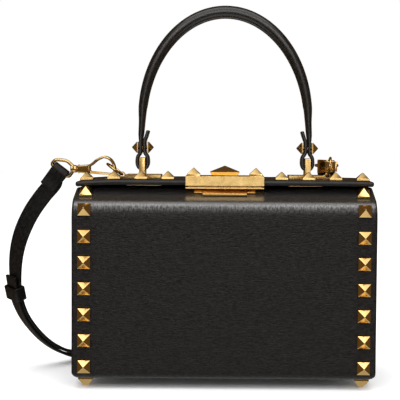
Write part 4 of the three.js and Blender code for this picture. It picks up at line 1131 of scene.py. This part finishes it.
class BAG_OT_handle(bpy.types.Operator):
    """Make the rolled handle with its looped flat ends and the seam inside its arch"""

    bl_idname = "bag.handle"
    bl_label = "Handle"

    def execute(self, context):
        shape = settings("bag_handle")
        right = handle_rows(shape)
        left = right[:-1] * (-1, 1, 1, 1)
        rows = np.vstack([left, right[::-1]])
        per_row = 8
        line = smooth_path(rows[:, :2], per_row)
        at = np.arange(len(line)) / per_row
        thick = np.interp(at, np.arange(len(rows)), rows[:, 2])
        wide = np.interp(at, np.arange(len(rows)), rows[:, 3])
        path = np.stack([line[:, 0], 0 * at, line[:, 1]], axis=-1)
        stations = (shape.strap_thickness, shape.thick_end, shape.thick_top)
        corner = np.interp(thick, stations, HANDLE_CORNERS)
        part = carried(path, (0, 1, 0), wide, thick, corner, corner_steps=8, end=HANDLE_ROUND)
        obj = add_mesh("handle_leather", [part], finish("handle"), sharp=70.0)
        finish_piece(obj, "lid", "black_leather", "handle")
        self.add_seam(rows, shape)
        return {"FINISHED"}

    def add_seam(self, rows, shape):
        """A narrow raised seam under the roll: a small rounded strip set in from the arch."""
        arch = rows[rows[:, 1] > RIVET_Z + shape.base + SEAM_START]
        per_row = 10
        line = smooth_path(arch[:, :2], per_row)
        at = np.arange(len(line)) / per_row
        thick = np.interp(at, np.arange(len(arch)), arch[:, 2])
        tangent = unit(np.gradient(line, axis=0))
        inward = np.stack([tangent[:, 1], -tangent[:, 0]], axis=-1)
        line = line + inward * (thick / 2 - SEAM_SINK)[:, None]
        path = np.stack([line[:, 0], 0 * at, line[:, 1]], axis=-1)
        section = (SEAM_WIDTH, SEAM_HEIGHT, SEAM_CORNER)
        strip = carried(path, (0, 1, 0), *section, corner_steps=3, end=SEAM_ROUND)
        seam = add_mesh("handle_seam", [strip], finish("handle"))
        finish_piece(seam, "lid", "black_leather")


# Rings, hooks and swivels


def hook_frames():
    """The hooks' own frames: p runs from the neck to the nose, q across, w along the band's width.
    They start at the middle of the neck's end, by the swivel, which the CAD hooks' boxes give."""
    left_low = span("hook_left")[0]
    right_low, right_high = span("hook_right")
    left = Matrix.Translation((left_low[0], 0, left_low[2] + NECK_HALF_HEIGHT))
    right_z = (right_low[2] + right_high[2]) / 2
    right = Matrix.Translation((right_high[0] - NECK_HALF_HEIGHT, right_high[1], right_z))
    return {
        "left": left @ Matrix(((1, 0, 0), (0, 0, -1), (0, 1, 0))).to_4x4(),
        "right": right @ Matrix(((0, -1, 0), (-1, 0, 0), (0, 0, -1))).to_4x4(),
    }


def direction(vector, place):
    """A direction of a hook's frame, in the bag's frame."""
    return np.array(place)[:3, :3] @ np.array(vector, float)


def hook_parts(shape, place):
    """The curved band, a rounded rectangle carried along its centre line, and the neck block."""
    per_row = 10
    line = smooth_path(BAND_ROWS[:, :2] * (shape.reach, shape.height), per_row)
    at = np.arange(len(line)) / per_row
    wide = np.interp(at, np.arange(len(BAND_ROWS)), BAND_ROWS[:, 2]) * shape.band_width
    path = moved(np.stack([line[:, 0], line[:, 1], 0 * at], axis=-1), place)
    across = direction((0, 0, 1), place)
    band = carried(path, across, wide, shape.band_thickness, BAND_ROUND, end=BAND_ROUND)
    along = np.linspace(NECK_ROUND, shape.neck - NECK_ROUND, 14)
    share = along / shape.neck
    path = moved(np.stack([along, 0 * along, 0 * along], axis=-1), place)
    wide = NECK_WIDTH + (shape.band_width - NECK_WIDTH) * share
    neck = carried(path, across, wide, NECK_THICKNESS + NECK_GROWTH * share, NECK_CORNER, end=NECK_ROUND)
    turn = Matrix(place) @ Matrix.Rotation(math.pi / 2, 4, "Y")
    return [band, neck, turned(COLLAR_ROWS, 32, turn)]


def swivel_parts(shape, place, corners):
    """The strap ring, round wire along its rounded corners, the turned barrel and the pin."""
    flat = rounded_corners(corners * shape.bar, RING_CORNER, 7)
    path = moved(np.hstack([flat, np.zeros((len(flat), 1))]), place)
    radius = shape.strap_wire
    across = direction((0, 0, 1), place)
    wire = carried(path, across, 2 * radius, 2 * radius, radius, corner_steps=5, loop=True)
    barrel = (shape.barrel, 0.0) + BARREL_ROWS * (-1, 1)
    turn = Matrix(place) @ Matrix.Rotation(math.pi / 2, 4, "Y")
    return [wire, turned(barrel, 40, turn), turned(PIN_ROWS, 24, turn)]


class BAG_OT_hooks(bpy.types.Operator):
    """Make the lug rings, the snap hooks and their swivels"""

    bl_idname = "bag.hooks"
    bl_label = "Hooks"

    def execute(self, context):
        shape = settings("bag_hooks")
        gold = finish("gold")
        for side, place in hook_frames().items():
            ring = add_mesh("ring_wire_" + side, [self.ring(shape, side)], gold, sharp=60.0)
            finish_piece(ring, "lid", "gold_metal", "ring_" + side)
            hook = add_mesh("hook_band_" + side, hook_parts(shape, place), gold, sharp=50.0)
            finish_piece(hook, "lid", "gold_metal", "hook_" + side)
            parts = swivel_parts(shape, place, RING_ROWS[side])
            swivel = add_mesh("swivel_ring_" + side, parts, gold, sharp=50.0)
            finish_piece(swivel, "lid", "gold_metal", "swivel_" + side)
            softened("gate_" + side, gold, shape.edge)
        return {"FINISHED"}

    def ring(self, shape, side):
        """Round wire round a circle, middle + r (cos a out + sin a y), where out leans outwards from
        upright in its lug."""
        low, high = span("ring_" + side)
        middle = (low + high) / 2
        lean = RING_LEAN[side]
        a = np.linspace(0, 2 * math.pi, 64, endpoint=False)[:, None]
        out = np.array([math.sin(lean), 0, math.cos(lean)])
        path = middle + shape.ring_radius * (np.cos(a) * out + np.sin(a) * np.array([0, 1.0, 0]))
        normal = np.cross((0, 1.0, 0), out)
        radius = shape.ring_wire
        return carried(path, normal, 2 * radius, 2 * radius, radius, loop=True)


# The shoulder strap


def bar_of(shape, side):
    """The middle and the direction of a strap ring's bar."""
    ends = RING_ROWS[side][[0, -1]] * shape.bar
    ends = moved(np.hstack([ends, np.zeros((2, 1))]), hook_frames()[side])
    return ends.mean(axis=0), unit(ends[1] - ends[0])


def fold_rows(strap, layer, bar, down):
    """Rows that wrap the strap round a bar: out along the tab, half a circle, and back."""
    middle, along = bar
    front = np.array([0, -1.0, 0])
    a = np.linspace(0, math.pi, 5)
    part_way = FOLD_SHARE * strap.tab
    apart = layer / 2 + FOLD_SPREAD
    reach = np.concatenate([[strap.tab, part_way], -strap.fold * np.sin(a), [part_way]])
    out = np.concatenate([[layer / 2, apart], strap.fold * np.cos(a), [-apart]])
    at = middle + reach[:, None] * down + out[:, None] * front
    return at, np.broadcast_to(along, at.shape)


def route_rows(route):
    """A route's shares as places in the bag's frame, and the directions of the strap's width."""
    x = route[:, 0]
    reach = np.minimum(np.abs(x), 1) * HALF_WIDTH + np.maximum(np.abs(x) - 1, 0) * 2 * HALF_DEPTH
    at = np.stack([np.sign(x) * reach, route[:, 1] * HALF_DEPTH,
                   FLOOR_Z + route[:, 2] * (LIP_TOP - FLOOR_Z)], axis=-1)
    return at, route[:, 3:]


def strap_part(strap, at, width_way):
    """The strap carried along its rows, with its width direction squared to the path."""
    path = smooth_path(at, STRAP_STEPS)
    place = np.arange(len(path)) / STRAP_STEPS
    across = np.stack([np.interp(place, np.arange(len(at)), width_way[:, k]) for k in range(3)], axis=-1)
    section = (strap.width, strap.thickness, strap.edge)
    return carried(path, across, *section, corner_steps=5, end=STRAP_ROUND)


class BAG_OT_strap(bpy.types.Operator):
    """Make both pieces of the shoulder strap, its keeper and its buckle"""

    bl_idname = "bag.strap"
    bl_label = "Strap"

    def execute(self, context):
        strap = settings("bag_strap")
        shape = settings("bag_hooks")
        layer = strap.thickness + GAP
        at, way = route_rows(SHORT_ROUTE)
        tangent = unit(np.gradient(smooth_path(at, STRAP_STEPS), axis=0))[::STRAP_STEPS]
        face = unit(np.cross(tangent, way))
        short = self.short_strap(strap, shape, layer, at, way)
        self.add_strap("strap_leather_short", short, "strap_short", *SHORT_BEND)
        long = self.long_strap(strap, shape, layer, at, way, face)
        self.add_strap("strap_leather_long", long, "strap_long", *LONG_BEND)
        self.add_keeper(strap, layer, at[KEEPER_ROW], tangent[KEEPER_ROW], way[KEEPER_ROW])
        softened("buckle", finish("gold_plate"), BUCKLE_EDGE)
        return {"FINISHED"}

    def short_strap(self, strap, shape, layer, at, way):
        """From the fold round the left ring's bar down the side and behind the box."""
        bar = bar_of(shape, "left")
        down = unit(np.cross(bar[1], (0, 1.0, 0)))
        down = down if down[2] < 0 else -down
        fold_at, fold_way = fold_rows(strap, layer, bar, down)
        return strap_part(strap, np.vstack([fold_at, at]), np.vstack([fold_way, way]))

    def long_strap(self, strap, shape, layer, at, way, face):
        """From the free tip above the keeper, one layer outside the short piece, then along the
        ground and up to the fold round the right ring's bar."""
        outer = (at + face * layer)[KEEPER_ROW:]
        way_up = unit(at[KEEPER_ROW - 1] - at[KEEPER_ROW])
        tip = outer[0] + way_up * (strap.keeper_length / 2 + strap.tip) + face[KEEPER_ROW] * TIP_LIFT
        long_at, long_way = route_rows(LONG_ROUTE)
        end_at, end_way = fold_rows(strap, layer, bar_of(shape, "right"), unit(np.array(RIGHT_TAB_WAY)))
        at = np.vstack([[tip], outer, long_at, end_at[::-1]])
        way = np.vstack([way[[KEEPER_ROW]], way[KEEPER_ROW:], long_way, end_way[::-1]])
        return strap_part(strap, at, way)

    def add_strap(self, name, part, node, low, high):
        """One strap piece. When the lid opens it bends between two heights: below it stays with the
        box, above it goes with the lid."""
        obj = add_mesh(name, [part], finish("strap"), sharp=60.0)
        finish_piece(obj, ("body", "lid", (0, 0, low), (0, 0, high)), "black_leather", node)

    def add_keeper(self, strap, layer, middle, tangent, way):
        """The keeper: a leather strip carried once round both layers, corners rounded."""
        across = unit(way - np.dot(way, tangent) * tangent)
        face = unit(np.cross(tangent, across))
        wide = strap.width / 2 + 2 * GAP + strap.keeper_wall / 2
        thick = layer + GAP + strap.keeper_wall / 2
        corners = np.array([(wide, thick), (-wide, thick), (-wide, -thick), (wide, -thick)])
        flat = rounded_corners(corners, KEEPER_TURN, 7)
        centre = middle + face * layer / 2
        path = centre + flat[:, :1] * across + flat[:, 1:] * face
        part = carried(path, tangent, strap.keeper_length, strap.keeper_wall, KEEPER_EDGE, loop=True)
        obj = add_mesh("keeper_leather", [part], finish("strap"), sharp=60.0)
        finish_piece(obj, "body", "black_leather", "keeper")


# Metal plates, studs and feet


class BAG_OT_metal(bpy.types.Operator):
    """Round the edges of the studs, feet, clasp, knob, catch, anchors, backings and rivets"""

    bl_idname = "bag.metal"
    bl_label = "Metal pieces"

    def execute(self, context):
        edge = settings("bag_hooks").edge
        gold = finish("gold")
        plate = finish("gold_plate")
        for node in frame["nodes"]:
            if node.startswith(("stud_", "foot_", "rivet_", "turn_knob")):
                softened(node, gold, edge)
            elif node.startswith(("clasp_", "catch_", "anchor_", "backing_")):
                softened(node, plate, edge)
        return {"FINISHED"}


# Stage


def area_light(name, place, size, power):
    """A soft white panel light at a place, facing the panels' target."""
    data = bpy.data.lights.new(name, "AREA")
    data.shape = "RECTANGLE"
    data.size = size[0]
    data.size_y = size[1]
    data.energy = power
    light = bpy.data.objects.new(name, data)
    light.location = place
    light.rotation_euler = (Vector(PANEL_TARGET) - Vector(place)).to_track_quat("-Z", "Y").to_euler()
    bpy.context.scene.collection.objects.link(light)


def mixed(tree, factor, first, second):
    """A shader between the outputs of two nodes, by a factor."""
    mix = tree.nodes.new("ShaderNodeMixShader")
    tree.links.new(factor, mix.inputs[0])
    tree.links.new(first.outputs[0], mix.inputs[1])
    tree.links.new(second.outputs[0], mix.inputs[2])
    return mix


def mirrored_levels(tree):
    """What the metal mirrors, by direction: a table that comes in below and fades again straight
    under the bag, and a wall in front. Gives how white the light is, and its strength."""
    place = tree.nodes.new("ShaderNodeTexCoord")
    way = tree.nodes.new("ShaderNodeSeparateXYZ")
    tree.links.new(place.outputs["Generated"], way.inputs[0])
    down = maths(tree, "MULTIPLY", way.outputs["Z"], -1.0)
    below = smooth_band(tree, down, *TABLE_BAND, TABLE_LIGHT)
    fade = smooth_band(tree, down, *TABLE_FADE_BAND, TABLE_FADE * TABLE_LIGHT)
    level_part = maths(tree, "MULTIPLY", way.outputs["Y"], -math.cos(WALL_RISE))
    rising_part = maths(tree, "MULTIPLY", way.outputs["Z"], math.sin(WALL_RISE))
    ahead = smooth_band(tree, maths(tree, "ADD", level_part, rising_part), *WALL_BAND, WALL_LIGHT)
    both = maths(tree, "ADD", maths(tree, "SUBTRACT", below, fade), ahead)
    return smooth_band(tree, both, *WHITE_BAND, 1.0), maths(tree, "ADD", both, ROOM_LIGHT)


def studio_world():
    """White behind the bag, even soft light on matt surfaces, and for reflections a dark room with
    a paler table below and a paler wall in front."""
    world = bpy.data.worlds.new("studio")
    bpy.context.scene.world = world
    world.cycles.sampling_method = "NONE"
    world.use_nodes = True
    tree = world.node_tree
    tree.nodes.clear()
    soft = add_node(tree, "ShaderNodeBackground", Color=WHITE, Strength=SOFT_LIGHT)
    room = add_node(tree, "ShaderNodeBackground")
    backdrop = add_node(tree, "ShaderNodeBackground", Color=WHITE, Strength=BACKDROP_LIGHT)
    whiteness, strength = mirrored_levels(tree)
    tree.links.new(blended(tree, whiteness, ROOM_TONE, WHITE), room.inputs["Color"])
    tree.links.new(strength, room.inputs["Strength"])
    path = tree.nodes.new("ShaderNodeLightPath")
    indirect = mixed(tree, path.outputs["Is Glossy Ray"], soft, room)
    seen = mixed(tree, path.outputs["Is Camera Ray"], indirect, backdrop)
    output = tree.nodes.new("ShaderNodeOutputWorld")
    tree.links.new(seen.outputs[0], output.inputs["Surface"])


class BAG_OT_stage(bpy.types.Operator):
    """Set the white floor, the studio light and the camera"""

    bl_idname = "bag.stage"
    bl_label = "Stage"

    def execute(self, context):
        setting = context.scene.bag_stage
        self.add_floor(setting.floor_size)
        self.add_lights()
        self.add_camera(setting)
        context.scene.view_settings.view_transform = "Standard"
        return {"FINISHED"}

    def add_floor(self, size):
        """A flat square sheet under the feet."""
        half = size / 2 / MM
        line = np.linspace(-half, half, 5)
        x, y = np.meshgrid(line, line, indexing="ij")
        material, _, shader = new_material("floor")
        shader.inputs["Base Color"].default_value = (FLOOR_GREY, FLOOR_GREY, FLOOR_GREY, 1.0)
        shader.inputs["Roughness"].default_value = FLOOR_ROUGHNESS
        shader.inputs["Specular IOR Level"].default_value = FLOOR_SHINE
        sheet = part_of(np.stack([x, y, 0 * x + FLOOR_Z - FLOOR_GAP], axis=-1))
        floor = add_mesh("floor", [sheet], material)
        floor.visible_glossy = False

    def add_lights(self):
        """Light from all round, a large panel overhead with a narrow one by it that lights the
        shoulder, and a narrow one in front above the camera."""
        studio_world()
        for panel in PANELS:
            area_light(*panel)

    def add_camera(self, setting):
        """The camera in front of the bag, a little above its middle."""
        data = bpy.data.cameras.new("camera")
        data.lens = setting.lens
        data.sensor_width = SENSOR_WIDTH
        data.shift_x = CAMERA_SHIFT
        camera = bpy.data.objects.new("camera", data)
        place = Matrix.Translation((0, -setting.camera_distance, setting.camera_height))
        tilt = Matrix.Rotation(math.pi / 2 - setting.camera_pitch, 4, "X")
        roll = Matrix.Rotation(setting.camera_roll, 4, "Z")
        camera.matrix_world = place @ tilt @ roll
        bpy.context.scene.collection.objects.link(camera)
        bpy.context.scene.camera = camera


class BAG_PT_panel(bpy.types.Panel):
    """The bag's steps in the sidebar"""

    bl_idname = "BAG_PT_panel"
    bl_label = "Box bag"
    bl_space_type = "VIEW_3D"
    bl_region_type = "UI"
    bl_category = "Box bag"

    def draw(self, context):
        for operator in OPERATORS:
            self.layout.operator(operator.bl_idname)


OPERATORS = (BAG_OT_box, BAG_OT_lid, BAG_OT_handle, BAG_OT_hooks, BAG_OT_strap, BAG_OT_metal, BAG_OT_stage)


def register():
    """Registers the property groups, the operators and the panel."""
    for group in GROUPS.values():
        bpy.utils.register_class(group)
    for name, group in GROUPS.items():
        setattr(bpy.types.Scene, name, bpy.props.PointerProperty(type=group))
    for operator in OPERATORS:
        bpy.utils.register_class(operator)
    bpy.utils.register_class(BAG_PT_panel)


def unregister():
    """Takes back what register has set up, in the opposite order."""
    bpy.utils.unregister_class(BAG_PT_panel)
    for operator in reversed(OPERATORS):
        bpy.utils.unregister_class(operator)
    for name in GROUPS:
        delattr(bpy.types.Scene, name)
    for group in reversed(list(GROUPS.values())):
        bpy.utils.unregister_class(group)


def main():
    """Makes every piece and the stage."""
    register()
    bpy.ops.bag.box()
    bpy.ops.bag.lid()
    bpy.ops.bag.handle()
    bpy.ops.bag.hooks()
    bpy.ops.bag.strap()
    bpy.ops.bag.metal()
    bpy.ops.bag.stage()


if __name__ == "__main__":
    main()
